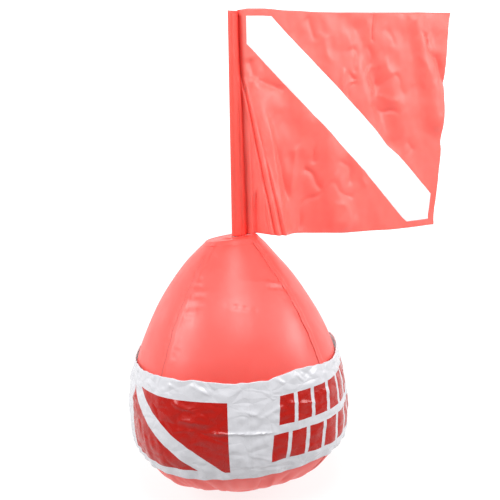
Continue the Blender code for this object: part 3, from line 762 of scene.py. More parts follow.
@dataclass(frozen=True)
class BodyOutline:
    """Outline of the inflated body: two curves that meet at the belly, with four soft corners round it."""

    height: float = 0.418
    top_radius: float = 0.040
    shoulder_reach: float = 0.029
    shoulder_drop: float = 0.0205
    flank_rise: float = 0.138
    belly_radius: float = 0.179
    belly_height: float = 0.132
    belly_fall: float = 0.106
    heel_reach: float = 0.0235
    heel_rise: float = 0.022
    base_radius: float = 0.060
    cap_lap: float = 0.010
    first_seam: float = math.radians(-39.5)
    corner_share: float = 0.06
    corner_blend_share: float = 0.5
    tuck_share: float = 0.06
    tuck_turn: float = math.radians(-12)
    tuck_from: float = 0.105
    tuck_blend: float = 0.055
    gores: int = 4

    def curve(self, places: Array) -> tuple[Array, Array, Array, Array]:
        """Radius, height and unit direction down the outline, from 0 at its top to 2 at its base.

        Args:
            places: places on the outline.

        Returns:
            Radius, height, and how far the direction goes out and up, for each place.
        """
        top = self.height - 2 * LAP_STEP
        low = 2 * LAP_STEP
        shoulder = (self.top_radius + self.shoulder_reach, top - self.shoulder_drop)
        belly = (self.belly_radius, self.belly_height)
        flank = (self.belly_radius, self.belly_height + self.flank_rise)
        upper = ((self.top_radius, top), shoulder, flank, belly)
        lower = (
            belly,
            (self.belly_radius, self.belly_height - self.belly_fall),
            (self.base_radius + self.heel_reach, low + self.heel_rise),
            (self.base_radius, low),
        )
        places = np.clip(places, 0, 2)
        points = np.zeros((*places.shape, 2))
        slopes = np.zeros((*places.shape, 2))
        for part, corners in ((places <= 1, upper), (places > 1, lower)):
            t = (places[part] - (0 if corners is upper else 1))[:, None]
            s = 1 - t
            a, b, c, d = np.array(corners)
            points[part] = s**3 * a + 3 * s * s * t * b + 3 * s * t * t * c + t**3 * d
            slopes[part] = s * s * (b - a) + 2 * s * t * (c - b) + t * t * (d - c)
        slopes /= np.linalg.norm(slopes, axis=-1, keepdims=True)
        return points[..., 0], points[..., 1], slopes[..., 0], slopes[..., 1]

    def lap_end(self, side: Side) -> float:
        """Place on the outline where a cap's skirt ends.

        Args:
            side: which end the cap closes.

        Returns:
            The place.
        """
        start = 0.0 if side is Side.TOP else 2.0
        places = start + side.value * np.linspace(0, 0.5, 1001)
        return float(np.interp(self.cap_lap, run_along(*self.curve(places)[:2]), places))

    def at_height(self, height: Array) -> Array:
        """Places on the outline at heights."""
        places = np.linspace(0, 2, 4001)
        return np.interp(-height, -self.curve(places)[1], places)

    def rise(self, places: Array) -> Array:
        """Distance along the outline above the belly.

        Args:
            places: places on the outline.

        Returns:
            The distance of each, less than 0 below the belly.
        """
        steps = np.linspace(0, 2, 4001)
        run = run_along(*self.curve(steps)[:2])
        return np.interp(1.0, steps, run) - np.interp(places, steps, run)

    def spot(self, turn: float, height: float) -> Pair:
        """Azimuth and rise above the belly of a place, by its degrees from the front and its height."""
        return FRONT + math.radians(turn), float(self.rise(self.at_height(np.array(height))))

    def seen_creases(self, rows: Sequence[Sequence[float]]) -> list[Crease]:
        """Creases of a sheet that goes round the body, as seen from the front.

        Args:
            rows: degrees and height of both ends, width, and height, in millimetres.

        Returns:
            The creases, by azimuth and by rise above the belly.
        """
        found = []
        for turn, height, end_turn, end_height, width, relief in rows:
            start, end = self.spot(turn, height / 1000), self.spot(end_turn, end_height / 1000)
            found.append(Crease(start, end, width / 1000, relief / 1000))
        return found

    def point(self, azimuth: Array, places: Array, lift: Array | float = 0.0) -> Array:
        """Points of the body, lifted off its surface.

        Args:
            azimuth: turn round +Z from +X.
            places: places on the outline.
            lift: distance off the surface.

        Returns:
            Points in space.
        """
        radius, height, out, down = self.curve(places)
        top, base = self.lap_end(Side.TOP), self.lap_end(Side.BASE)
        fade = smooth_step((places - top) / self.corner_blend_share)
        fade = fade * smooth_step((base - places) / self.corner_blend_share)
        corner = ((1 + np.cos(self.gores * (azimuth - self.first_seam))) / 2) ** 2
        tuck = np.maximum(0, np.cos(azimuth - self.tuck_turn)) ** 2
        tuck = tuck * smooth_step((self.tuck_from - height) / self.tuck_blend)
        swell = 1 + self.corner_share * fade * corner - self.tuck_share * tuck
        reach = radius * swell - down * lift
        level = height + out * lift
        return np.concatenate([ring_places(reach, azimuth), level[:, None]], axis=-1)

    def frame(self, azimuth: float, height: float) -> Matrix:
        """Frame on the body's surface, with Z out of it and Y up along it.

        Args:
            azimuth: the frame's azimuth.
            height: the frame's height.

        Returns:
            The frame.
        """
        place = self.at_height(np.array([height]))
        _, _, out, down = (float(value[0]) for value in self.curve(place))
        outward = Vector((-down * math.cos(azimuth), -down * math.sin(azimuth), out))
        upward = Vector((-out * math.cos(azimuth), -out * math.sin(azimuth), -down))
        turn = Matrix((upward.cross(outward), upward, outward)).transposed().to_4x4()
        point = self.point(np.array([azimuth]), place)[0]
        return Matrix.Translation(point) @ turn

    def lay(self, azimuth: float, height: float, x: Array, y: Array) -> Array:
        """Places of the body's surface in a surface frame.

        Args:
            azimuth: the frame's azimuth.
            height: the frame's height.
            x: distance across from the frame's point.
            y: distance up from it.

        Returns:
            Points in the frame's own coordinates.
        """
        radius, _, _, down = self.curve(self.at_height(np.array([height])))
        places = self.at_height(height - down[0] * y)
        points = self.point(azimuth + x / radius[0], places)
        return carried(points, np.array(self.frame(azimuth, height).inverted()))


OUTLINE = BodyOutline()

# Creases of the skin, first above the band and then under it, and those of the band: degrees from the front
# and height of both ends, width, and how far each stands out. Lengths are in millimetres.
SKIN_CREASES: tuple[tuple, ...] = (
    (31, 357.5, 54, 349, 2.4, 1.6),
    (30, 352.5, 52, 342.5, 1.8, -1.3),
    (2, 364, 44, 356, 6, 0.5),
    (-8, 332.5, 22, 320.5, 1.2, -1.3),
    (-6, 327, 18, 316.5, 6, 0.4),
    (-47, 355.1, -26, 356.8, 1.8, -0.7),
    (-38, 347, -19, 350, 6, 0.7),
    (-34, 344, -20, 341.5, 1.8, -0.6),
    (-42, 337.5, -24, 336.5, 5.5, 0.6),
    (-40, 325, -18, 330.5, 1.8, -0.7),
    (-36, 319, -25, 321.5, 5.5, 0.5),
    (-39, 311, -29, 313.5, 2, -0.5),
    (-20, 74, -18, 20, 4.5, -3.4),
    (-33, 78, -31, 34, 4, -2.4),
    (-26, 76, -25, 28, 5, 2),
    (-11, 72, -10, 30, 5, 1.8),
    (13, 74, 12, 36, 4, -2.6),
    (20, 74, 18, 40, 5, 2),
    (29, 78, 27, 46, 4, -2),
)
BAND_CREASES: tuple[tuple, ...] = (
    (-16, 153, 21, 147.5, 2.2, 2),
    (-30, 153, -18, 156, 3, 0.8),
    (-24, 223, -11, 206, 3.6, 1.3),
    (-17, 224, -8, 209, 2.5, -1.4),
    (-36, 220, -28, 212, 3.4, 0.8),
    (-50, 215, -44, 206, 3.4, 0.8),
    (20, 226, 26, 215, 3, 1),
    (31, 229, 36, 214, 2.6, 1.5),
    (35, 232, 41, 218, 2.4, -1.4),
    (-33, 196, -14, 176, 5, 1.2),
    (-28, 180, -8, 182, 4, -1.2),
    (-30, 170, -10, 164, 4, 1.2),
    (0, 186, 12, 174, 3.5, 1.2),
    (10, 170, 24, 186, 3.5, 1),
    (22, 190, 44, 178, 4, 1.1),
    (3, 118, 22, 99, 4, 0.9),
)
# Creases of the flat flag, in millimetres along its fly and up its hoist: both ends, the width, the height
# and the end's width. Then, which end doesn't fade.
FLAG_CREASES: tuple[tuple, ...] = (
    (15.5, 262, 72.5, -10, 1.6, -5.2, 2.2, "both"),
    (13.5, 250, 66, -10, 2.2, 3, 3, "both"),
    (20, 250, 78, -10, 2.2, 2.6, 3, "both"),
    (36, 200, 85, -10, 1.4, -3.4, 1.8, "end"),
    (40, 175, 92, -10, 2, 2.4, 3, "end"),
    (25, 190, 30, -10, 2.2, 3.6, 3, "end"),
    (22, 160, 22.5, -10, 1.3, -2.6, 1.5, "end"),
    (38.5, 80, 39, -10, 2, -6, 6, "end"),
    (49, 90, 54, -10, 2, 2.4, 3, "end"),
    (43, 120, 62, -10, 1.6, -2, 2, "end"),
    (56, 205, 90, 0, 9.5, 6.2, 11, "end"),
    (76, 158, 109, 46, 6, -5.6, 9),
    (117, 0, 180, 95, 6, -3.4, 8, "start"),
    (118, 152, 110, 52, 7, 3.8, 8),
    (144.4, 145, 157, 108, 5, -3.4, 6),
    (132, 108, 164, 74, 6, -4.4, 7),
    (178, 86, 236, 44, 6, -3.6, 7),
    (196, 50, 237, 8, 6, 3.2, 9),
    (235, 110, 260, 70, 6, 2.4, 8),
    (28, 284, 38.5, 246, 8, -6, 10),
    (33, 252, 95, 230, 11, -6.4, 8),
    (50, 222, 98, 194, 18, 2, 20),
    (190, 122, 226, 86, 7, -3, 7),
    (130, 345, 142, 300, 6, -2.6, 8, "start"),
    (155, 330, 164, 270, 9, 2.6, 11),
    (205, 310, 210, 262, 6, -3, 8),
    (191, 262, 198, 226, 4.2, 2.6, 7),
    (200, 266, 218, 240, 4, -3, 5),
    (218, 240, 210, 212, 4, -2.6, 6),
    (241, 280, 248, 220, 4.2, 3.6, 5),
    (234, 300, 242, 258, 5.2, -2.4, 5.2),
    (253, 272, 264, 236, 8, -3.6, 9),
    (256, 240, 285, 238, 5.6, -2.2, 5.6),
    (270, 284, 285, 240, 8, 2.8, 8),
    (247, 356, 249, 300, 2.2, -2.6, 1.8, "start"),
    (273, 340, 279, 300, 4, -1.8, 6),
    (240, 204, 306, 187, 6, -3.6, 7),
    (256, 222, 300, 212, 6, 2.2, 6),
    (285, 250, 320, 215, 6, -2.2, 8),
    (330, 335, 386, 232, 5, -5.2, 10, "end"),
    (318, 310, 360, 225, 7, 2.6, 9),
    (320, 150, 345, 115, 7, -2.4, 8),
)


@dataclass
class InflatedBody:
    """Four welded gores, the discs that close them, and the ballast pouch on the lower one."""

    names: tuple[str, ...] = ("gore_right", "gore_back", "gore_left", "gore_front")
    seam_lap: float = 0.008
    lap_ramp: float = 0.004
    weld_line: float = 0.0009
    # Share of the weld colour along each seam: the weld, and painted shade of the gap by its lap edge; the
    # seams are painted unequally dark.
    weld_and_gap_shade_depths: tuple[float, ...] = (0.25, 0.75, 0.75, 0.75)
    columns: int = 104
    row_pitch: float = 0.0026
    cap_steps: int = 168
    flange_radius: float = 0.015
    mast_offset: float = 0.006
    hole_radius: float = 0.0054
    wave: float = 0.0005
    wave_length: float = 0.075
    # Puckers along the seams above the band: where they lie, how far apart, how far each strays from there,
    # and the limits that its length, slant, height and width are drawn between.
    pucker_heights: Pair = (0.245, 0.400)
    pucker_pitch: float = 0.014
    pucker_stray: float = 0.4
    pucker_turn: float = 1.5
    pucker_lengths: Pair = (0.010, 0.026)
    pucker_slants: Pair = (-0.004, 0.004)
    pucker_reliefs: Pair = (-0.0008, 0.0005)
    pucker_widths: Pair = (0.0018, 0.0035)
    droop: float = 0.0055
    lip: float = 0.0024
    droop_from: float = 0.375
    droop_blend: float = 0.012
    # The skin is bare between these heights over the band, and under it.
    bare_above: float = 0.232
    bare_blend: float = 0.03
    bare_top: float = 0.412
    bare_below: float = 0.076
    bare_base: float = 0.004
    rim_blend: float = 0.01
    gathers: int = 34
    gather_depth: float = 0.0012
    gather_pace: float = 70
    # How far, how fast up the body, and from which phase the seams wander.
    sways: tuple[Triple, ...] = ((0.0006, 230, 0), (0.0004, 97, 1))
    collar_rise: float = 0.0011
    collar_reach: float = 0.045
    pull: float = 0.0007
    pull_reach: float = 0.009
    # Radius of the pouch's brim and of its wall, its height and its rounding.
    pouch: tuple[float, ...] = (0.056, 0.048, 0.024, 0.006)
    pouch_gathers: int = 23
    pouch_gather_depth: float = 0.0007
    disc_hole: float = 0.001
    disc_blend: float = 0.07
    flange_edge: float = 0.0025
    # Depth of the dent round the mast's flange, and how far from the flange and how wide it is.
    flange_dent: Triple = (0.0012, 0.0045, 0.005)

    def creases(self) -> list[Crease]:
        """Handling creases and the puckers along the seams, by azimuth and by rise above the belly.

        Returns:
            Every crease of the skin.
        """
        found = OUTLINE.seen_creases(SKIN_CREASES)
        draw = random.Random(7)
        heights = np.arange(*self.pucker_heights, self.pucker_pitch)
        for seam in range(OUTLINE.gores):
            turn = math.degrees(OUTLINE.first_seam - FRONT) + 90 * seam
            for side in (-1, 1):
                for height in heights:
                    level = height + draw.uniform(-self.pucker_stray, self.pucker_stray) * self.pucker_pitch
                    radius = float(OUTLINE.curve(OUTLINE.at_height(np.array([level])))[0][0])
                    reach = math.degrees(draw.uniform(*self.pucker_lengths) / radius)
                    start = OUTLINE.spot(turn + side * self.pucker_turn, level)
                    rise = draw.uniform(*self.pucker_slants)
                    end = OUTLINE.spot(turn + side * (self.pucker_turn + reach), level + rise)
                    relief = draw.uniform(*self.pucker_reliefs)
                    found.append(Crease(start, end, draw.uniform(*self.pucker_widths), relief))
        return found

    def relief(self, azimuth: Array, places: Array) -> Array:
        """How far the skin stands off its smooth form, which it keeps under the band.

        Args:
            azimuth: azimuth of each place.
            places: places on the outline.

        Returns:
            The height at each place.
        """
        radius, height, _, _ = OUTLINE.curve(places)
        rise = OUTLINE.rise(places)
        total = self.wave * ripples(OUTLINE.point(azimuth, places), self.wave_length, seed=3)
        total += creased(self.creases(), azimuth, rise, radius)
        upper = self.above_band(height) * smooth_step((self.bare_top - height) / self.rim_blend)
        lower = smooth_step((self.bare_below - height) / (2 * self.rim_blend))
        lower = lower * smooth_step((height - self.bare_base) / self.rim_blend)
        gathers = self.gather_depth * np.cos(self.gathers * azimuth + 2 * np.sin(3 * azimuth))
        return total * (upper + lower) + lower * gathers * np.cos(height * self.gather_pace)

    def above_band(self, height: Array) -> Array:
        """0 under the band, and 1 above it."""
        return smooth_step((height - self.bare_above) / self.bare_blend)

    def sway(self, places: Array) -> Array:
        """How far the seams wander from straight, as an azimuth.

        Args:
            places: places on the outline.

        Returns:
            The azimuth to add at each place.
        """
        radius, height, _, _ = OUTLINE.curve(places)
        wander = sum(reach * np.sin(height * pace + phase) for reach, pace, phase in self.sways)
        return wander / radius * self.above_band(height)

    def lap(self, azimuth: Array, radius: Array) -> Array:
        """How far a gore's own edge lies above the smooth form, over the seam that it laps.

        Args:
            azimuth: azimuth of each place.
            radius: the body's radius there.

        Returns:
            The height at each place.
        """
        width = math.tau / OUTLINE.gores
        from_seam = (azimuth - OUTLINE.first_seam + self.seam_lap / 2 / radius) % width
        past = from_seam * radius - self.seam_lap
        return LAP_STEP * (1 - smooth_step(past / self.lap_ramp))

    def collar(self, places: Array) -> Array:
        """How far the gores rise to meet the top disc."""
        from_rim = OUTLINE.rise(np.array([0.0]))[0] - OUTLINE.rise(places)
        return self.collar_rise * smooth_step(1 - from_rim / self.collar_reach)

    def settle(self, points: Array) -> Array:
        """Let the top sink at the back and left, and stand up at the front right.

        The mast's flange stays as it is.

        Args:
            points: points of the body.

        Returns:
            The same points, moved.
        """
        from_flange = np.hypot(points[:, 0] - self.mast_offset, points[:, 1]) - self.flange_radius
        x, y = points[:, 0] / OUTLINE.top_radius, points[:, 1] / OUTLINE.top_radius
        near_top = smooth_step((points[:, 2] - self.droop_from) / (OUTLINE.height - self.droop_from))
        behind = smooth_step((y + 1.6) / 2) * smooth_step((0.75 - x) / 1.75)
        behind *= smooth_step(from_flange / self.droop_blend)
        ahead = smooth_step(0.8 * x - 0.6 * y + 0.2)
        ahead *= smooth_step((from_flange - 0.006) / self.droop_blend)
        points[:, 2] += near_top * (self.lip * ahead - self.droop * behind)
        return points

    def make_gore(self, index: int, material: Material) -> None:
        """Build one gore, which laps over the last one and under the next.

        Args:
            index: which gore, in order round the body.
            material: its finish.
        """
        seam = OUTLINE.first_seam + math.tau * index / OUTLINE.gores
        next_seam = seam + math.tau / OUTLINE.gores
        run = OUTLINE.rise(np.array([0.0]))[0] - OUTLINE.rise(np.array([2.0]))[0]
        rows = np.linspace(0, 2, round(run / self.row_pitch) + 1)
        steps = np.linspace(-1, 1, self.columns + 1)
        columns = steps * (1 + 0.12 * (1 - steps**2))

        def turn(u: Array, v: Array) -> tuple[Array, Array]:
            """Azimuth and radius of places on the gore.

            Args:
                u: share across the gore, from -1 to 1.
                v: places on the outline.

            Returns:
                Azimuth and radius of each.
            """
            radius = OUTLINE.curve(v)[0]
            width = (next_seam - seam) / 2 + self.seam_lap / 2 / radius
            return (seam + next_seam) / 2 + u * width, radius

        def flat(u: Array, v: Array) -> Array:
            """Metres across and up the gore."""
            return np.stack([u * OUTLINE.curve(v)[0] * math.pi / 4, OUTLINE.rise(v)], axis=-1)

        def weld(u: Array, v: Array) -> Array:
            """The line that the welding tool leaves along either lap, and painted shade of the gap beside the
            next gore's edge.

            Args:
                u: share across the gore, from -1 to 1.
                v: places on the outline.

            Returns:
                How far each place takes the colour of a weld and of painted shade.
            """
            azimuth, radius = turn(u, v)
            own = (azimuth - seam) * radius + self.seam_lap / 2
            # Painted shade: this gore darkens where the next gore's edge lies over it, as the gap under that
            # edge would.
            other = (azimuth - next_seam) * radius + self.seam_lap / 2
            deep, gap_shade_depth = self.weld_and_gap_shade_depths[index], self.weld_and_gap_shade_depths[(index + 1) % OUTLINE.gores]
            return deep * hump(own, self.weld_line) + gap_shade_depth * hump(other, self.weld_line)

        def place(u: Array, v: Array) -> Array:
            """Points of the gore's outer face.

            Args:
                u: share across the gore, from -1 to 1.
                v: places on the outline.

            Returns:
                Points in space.
            """
            azimuth, radius = turn(u, v)
            own = azimuth < next_seam - self.seam_lap / 2 / radius
            lift = np.where(own, self.lap(azimuth, radius), 0.0)
            near = np.minimum(np.abs(azimuth - seam), np.abs(next_seam - azimuth)) * radius
            pulled = self.pull * hump(near, self.pull_reach) * self.above_band(OUTLINE.curve(v)[1])
            swayed = azimuth + self.sway(v)
            lift = lift - pulled + self.relief(swayed, v) + self.collar(v)
            return self.settle(OUTLINE.point(swayed, v, lift))

        bm = draped_sheet(columns, rows, place, flat, weld, inside_out=True)
        size, area = cut_size(bm)
        name = self.names[index]
        piece = new_piece(f"{name}_skin", bm, material, "float_body", "body_vinyl", [name], SKIN)

    def make_disc(self, side: Side, material: Material) -> None:
        """Build a disc over one end of the gores, with a skirt that laps over them.

        Args:
            side: which end it closes.
            material: its finish.
        """
        end = OUTLINE.lap_end(side)
        top = side is Side.TOP
        start = 0.0 if top else 2.0
        radius_of_face = OUTLINE.top_radius if top else OUTLINE.base_radius
        hole = self.hole_radius if top else self.disc_hole
        rows = [*np.linspace(0, 1, 40), *np.linspace(1, 2, 14)[1:]]

        def flat(u: Array, v: Array) -> Array:
            """Metres across the disc."""
            radius = np.minimum(v, 1) * radius_of_face + np.maximum(v - 1, 0) * OUTLINE.cap_lap
            return ring_places(radius, u)

        def weld(u: Array, v: Array) -> Array:
            """The faint line along the skirt's edge."""
            return 0.08 * smooth_step((v - 1.86) / 0.14)

        def place(u: Array, v: Array) -> Array:
            """Points of the disc's outer face.

            Args:
                u: azimuth of each place.
                v: share of the way out, and from 1 to 2 down the skirt.

            Returns:
                Points in space.
            """
            past = np.clip(v - 1, 0, 1)
            places = start + past * (end - start)
            under = self.lap(u - self.sway(places), OUTLINE.curve(places)[0])
            under = under + GAP / 3 + (self.collar(places) if top else 0.0)
            lift = 2 * LAP_STEP + (under - 2 * LAP_STEP) * smooth_step(past)
            skirt = OUTLINE.point(u, places, lift)
            rim = OUTLINE.point(u, np.full_like(v, start), 2 * LAP_STEP)
            share = np.clip(v, 0, 1)
            radius = hole + (np.hypot(rim[:, 0], rim[:, 1]) - hole) * share
            middle = self.mast_offset * (1 - share) if top else 0.0
            x = middle + radius * np.cos(u)
            y = radius * np.sin(u)
            level = OUTLINE.height if top else 0.0
            blend = smooth_step((share - (1 - self.disc_blend)) / self.disc_blend)
            z = level + (rim[:, 2] - level) * blend
            if top:
                from_flange = np.hypot(x - self.mast_offset, y) - self.flange_radius
                outside = smooth_step(from_flange / self.flange_edge)
                depth, away, width = self.flange_dent
                dent = depth * hump(from_flange - away, width)
                z -= dent * outside * (1 - blend) * (1 + 0.5 * np.cos(3 * u + 1))
                z -= 0.0002 * (1 - outside)
                z += Crease((-0.034, -0.024), (0.004, -0.0135), 0.0016, -0.0018).relief(x, y)
            face = np.stack([x, y, z], axis=-1)
            points = np.where((v > 1)[:, None], skirt, face)
            return self.settle(points) if top else points

        columns = np.linspace(0, math.tau, self.cap_steps + 1)
        bm = draped_sheet(columns, rows, place, flat, weld, closed=True, inside_out=top)
        name, node = ("top_disc", "top_cap") if top else ("lower_disc", "base_disc")
        if not top:
            close_middle(bm, (0, 0, 0))
        new_piece(name, bm, material, "float_body", "body_vinyl", [node], SKIN)

    def make_pouch(self, material: Material) -> None:
        """Build the welded pouch that holds the ballast down inside the base.

        Args:
            material: its finish.
        """
        floor = SKIN + GAP
        brim, wall, height, fillet = self.pouch
        corners = [(brim, 0.0), (wall + 0.002, 0.0), (wall, 0.002), (wall, height - fillet)]
        bends = np.radians(np.linspace(0, 90, 8))
        corners += [
            (wall - fillet * (1 - math.cos(a)), height - fillet * (1 - math.sin(a))) for a in bends[1:]
        ]
        corners.append((self.disc_hole, height))
        radii, heights = np.array(corners).T
        runs = run_along(radii, heights)
        rows = np.linspace(0, runs[-1], 70)

        def flat(u: Array, v: Array) -> Array:
            """Metres round and up the pouch."""
            return np.stack([u * wall, v], axis=-1)

        def place(u: Array, v: Array) -> Array:
            """Points of the pouch's outer face, gathered a little where it turns over the weight.

            Args:
                u: azimuth of each place.
                v: distance up the pouch's profile.

            Returns:
                Points in space.
            """
            radius = np.interp(v, runs, radii)
            level = np.interp(v, runs, heights)
            gather = self.pouch_gather_depth * np.cos(self.pouch_gathers * u)
            gather = gather * hump(level - height + fillet, fillet)
            radius = radius + gather * smooth_step(radius / 0.02)
            return np.concatenate([ring_places(radius, u), (floor + SKIN + level)[:, None]], axis=-1)

        columns = np.linspace(0, math.tau, 121)
        bm = draped_sheet(columns, rows, place, flat, closed=True)
        close_middle(bm, (0, 0, floor + SKIN + height))
        bmesh.ops.recalc_face_normals(bm, faces=bm.faces)
        new_piece("ballast_bag", bm, material, "float_body", "body_vinyl", ["ballast_pouch"], SKIN)

    def build(self) -> None:
        """Make every gore, both discs and the pouch."""
        material = BODY_FINISH.make()
        for side in Side:
            self.make_disc(side, material)
        for index in range(OUTLINE.gores):
            self.make_gore(index, material)
        self.make_pouch(material)


@dataclass
class BellyBand:
    """The printed white band round the belly: loose at its top rim and gathered at its lower one."""

    top: float = 0.228
    bottom: float = 0.076
    tilt: float = 0.003
    flare: float = 0.0018
    rim_wave: float = 0.0010
    rim_waves: int = 9
    rim_unevenness: float = 0.0008
    pucker: float = 0.0024
    scallop: float = 0.0034
    scallop_spread: float = 0.45
    puckers: int = 34
    # Creases that nothing in the photo shows: how many, and the limits of turn, height by the top rim or
    # lower, length, slant, relief and width that they are drawn between.
    back_creases: int = 70
    back_turns: Pair = (52, 300)
    back_heights: tuple[Pair, Pair] = ((0.2, 0.226), (0.1, 0.2))
    back_lengths: Pair = (0.015, 0.045)
    back_slants: Pair = (-0.6, 0.6)
    back_reliefs: Pair = (0.0006, 0.0014)
    back_widths: Pair = (0.0025, 0.005)
    top_turns: tuple[float, ...] = (-180, -128, -97, -80, -40, -22, 0, 14, 36, 60, 82, 99, 128, 180)
    top_rises: tuple[float, ...] = (2, 2, 4, -1, 2.4, 1, -4.5, -4, 4, 0, -2, 6, 3, 2)
    loose_turn: float = 98
    loose_width: float = 13
    loose_lifts: Pair = (0.0, 0.0024)
    bottom_tilt: float = 0.0066
    bottom_rise: float = 0.010
    relief: float = 1.5
    # The front, where the print shows, has finer columns than the back, which lies between these turns.
    fine_to: Pair = (92, 268)
    column_counts: tuple[int, ...] = (155, 110, 175)
    rows: int = 106
    weld_turn: float = 6.2
    weld_ridge: float = 0.0008
    weld_edge: float = 0.002
    weld_fall: float = 0.012
    reference: float = 0.182
    stand_off: float = 0.0009
    deepest: float = -0.0007
    # Height, wavelength and seed of each unevenness of the film.
    unevenness: tuple[tuple[float, float, int], ...] = ((0.0010, 0.045, 21), (0.0005, 0.018, 22))

    def creases(self) -> list[Crease]:
        """Folds of the loose film, by azimuth and by rise above the belly.

        Returns:
            Every fold of the band.
        """
        found = OUTLINE.seen_creases(BAND_CREASES)
        draw = random.Random(11)
        for _ in range(self.back_creases):
            turn = draw.uniform(*self.back_turns)
            height = draw.choice([draw.uniform(*limits) for limits in self.back_heights])
            length = draw.uniform(*self.back_lengths)
            slant = draw.uniform(*self.back_slants) + (1.2 if height > 0.2 and draw.random() < 0.6 else 0)
            azimuth, rise = OUTLINE.spot(turn, height)
            end = (
                azimuth + length * math.cos(slant) / self.reference,
                rise + length * math.sin(slant) * draw.choice((-1, 1)),
            )
            relief = draw.choice((-1, 1)) * draw.uniform(*self.back_reliefs)
            found.append(Crease((azimuth, rise), end, draw.uniform(*self.back_widths), relief))
        return found

    def gather(self, azimuth: Array) -> Array:
        """Phase of the uneven gathers along the lower rim."""
        return self.puckers * azimuth + 1.6 * np.sin(3 * azimuth + 1) + 0.9 * np.sin(7 * azimuth)

    def build(self) -> None:
        """Make the band."""
        creases = self.creases()
        reference = self.reference
        weld = FRONT + math.radians(self.weld_turn)

        def edges(azimuth: Array) -> tuple[Array, Array]:
            """Places on the outline of the band's two rims.

            Args:
                azimuth: where on the rims.

            Returns:
                Places of the top rim, and of the lower one.
            """
            turn = turn_from_front(azimuth)
            ring = ring_places(1.0, azimuth)
            size = 1 - self.scallop_spread + self.scallop_spread * ripples(ring, 0.5, seed=24)
            scallop = self.scallop * size * (1 + np.cos(self.gather(azimuth))) / 2
            top = self.top + self.tilt * np.cos(azimuth) + eased(turn, self.top_turns, self.top_rises) / 1000
            top = top + self.rim_unevenness * ripples(ring, 0.12, seed=25)
            low = self.bottom + self.bottom_tilt * np.cos(azimuth) + scallop
            low = low + self.bottom_rise * smooth_step((np.abs(turn) - 20) / 40)
            return OUTLINE.at_height(top), OUTLINE.at_height(low)

        def flat(u: Array, v: Array) -> Array:
            """Metres from the weld and above the belly, on the flat band.

            Args:
                u: azimuth of each place.
                v: share of the way down the band.

            Returns:
                Two coordinates on the flat cut.
            """
            top, bottom = edges(u)
            tilt = self.tilt * np.cos(u)
            return np.stack([(u - weld) * reference, OUTLINE.rise(top + (bottom - top) * v) - tilt], axis=-1)

        def place(u: Array, v: Array) -> Array:
            """Points of the band's outer face.

            Args:
                u: azimuth of each place.
                v: share of the way down the band.

            Returns:
                Points in space.
            """
            top, bottom = edges(u)
            places = top + (bottom - top) * v
            turn = turn_from_front(u)
            loose = hump(np.abs(turn) - self.loose_turn, self.loose_width)
            rim = self.rim_wave * np.sin(self.rim_waves * u)
            rim = rim * (1 - loose) + loose * np.where(turn < 0, *self.loose_lifts)
            lift = 2 * LAP_STEP + (self.flare * (1 - 0.5 * loose) + rim) * (1 - v) ** 3
            lift = lift + self.pucker * (1 + np.cos(self.gather(u))) / 2 * v**3
            points = OUTLINE.point(u, places)
            relief = self.relief * creased(creases, u, OUTLINE.rise(places), reference)
            for height, length, seed in self.unevenness:
                relief += height * ripples(points, length, seed=seed)
            from_weld = ((u - weld + math.pi) % math.tau - math.pi) * reference
            ridge = self.weld_ridge * smooth_step(from_weld / self.weld_edge)
            relief += ridge * np.exp(-np.maximum(from_weld, 0) / self.weld_fall)
            return OUTLINE.point(u, places, lift + self.stand_off + np.maximum(relief, self.deepest))

        stops = [weld, *(FRONT + math.radians(turn) for turn in self.fine_to), weld + math.tau]
        parts = [np.linspace(*part) for part in zip(stops, stops[1:], self.column_counts)]
        columns = np.concatenate([parts[0], *(part[1:] for part in parts[1:])])
        rows = np.linspace(0, 1, self.rows + 1)
        bm = draped_sheet(columns, rows, place, flat, closed=True, inside_out=True)
        # White calendered PVC film, screen printed, and creased by its folding: glossy flat facets between
        # sharp bright edges, and a print that shines as the film does.
        finish = PrintedVinylFinish(
            "printed_band_film",
            "#D0D0D5",
            "#C8C9CF",
            roughness=0.26,
            specular=0.4,
            wave_mm=15.0,
            wave_depth_mm=0.22,
            crinkle_mm=38.0,
            crinkle_depth_mm=3.4,
            repeat=math.pi * reference,
        )
        # The film's unprinted back: matt, lit through from behind where its rim stands off the body, and
        # painted paler than the front of the same film, as painted light on the shaded inside of the rim.
        plain = VinylFinish(
            "band_back_film_painted_paler",
            "#E6E6E8",
            "#DEDFE2",
            roughness=0.3,
            through=0.6,
            through_radius=(1.0, 1.0, 1.0),
        )
        where = ("float_body", "band_vinyl", ["printed_band"])
        piece = new_piece("belly_band", bm, finish.make(), *where, SKIN, back=plain.make())
        run = float(np.diff(OUTLINE.rise(OUTLINE.at_height(np.array([self.bottom, self.top]))))[0])


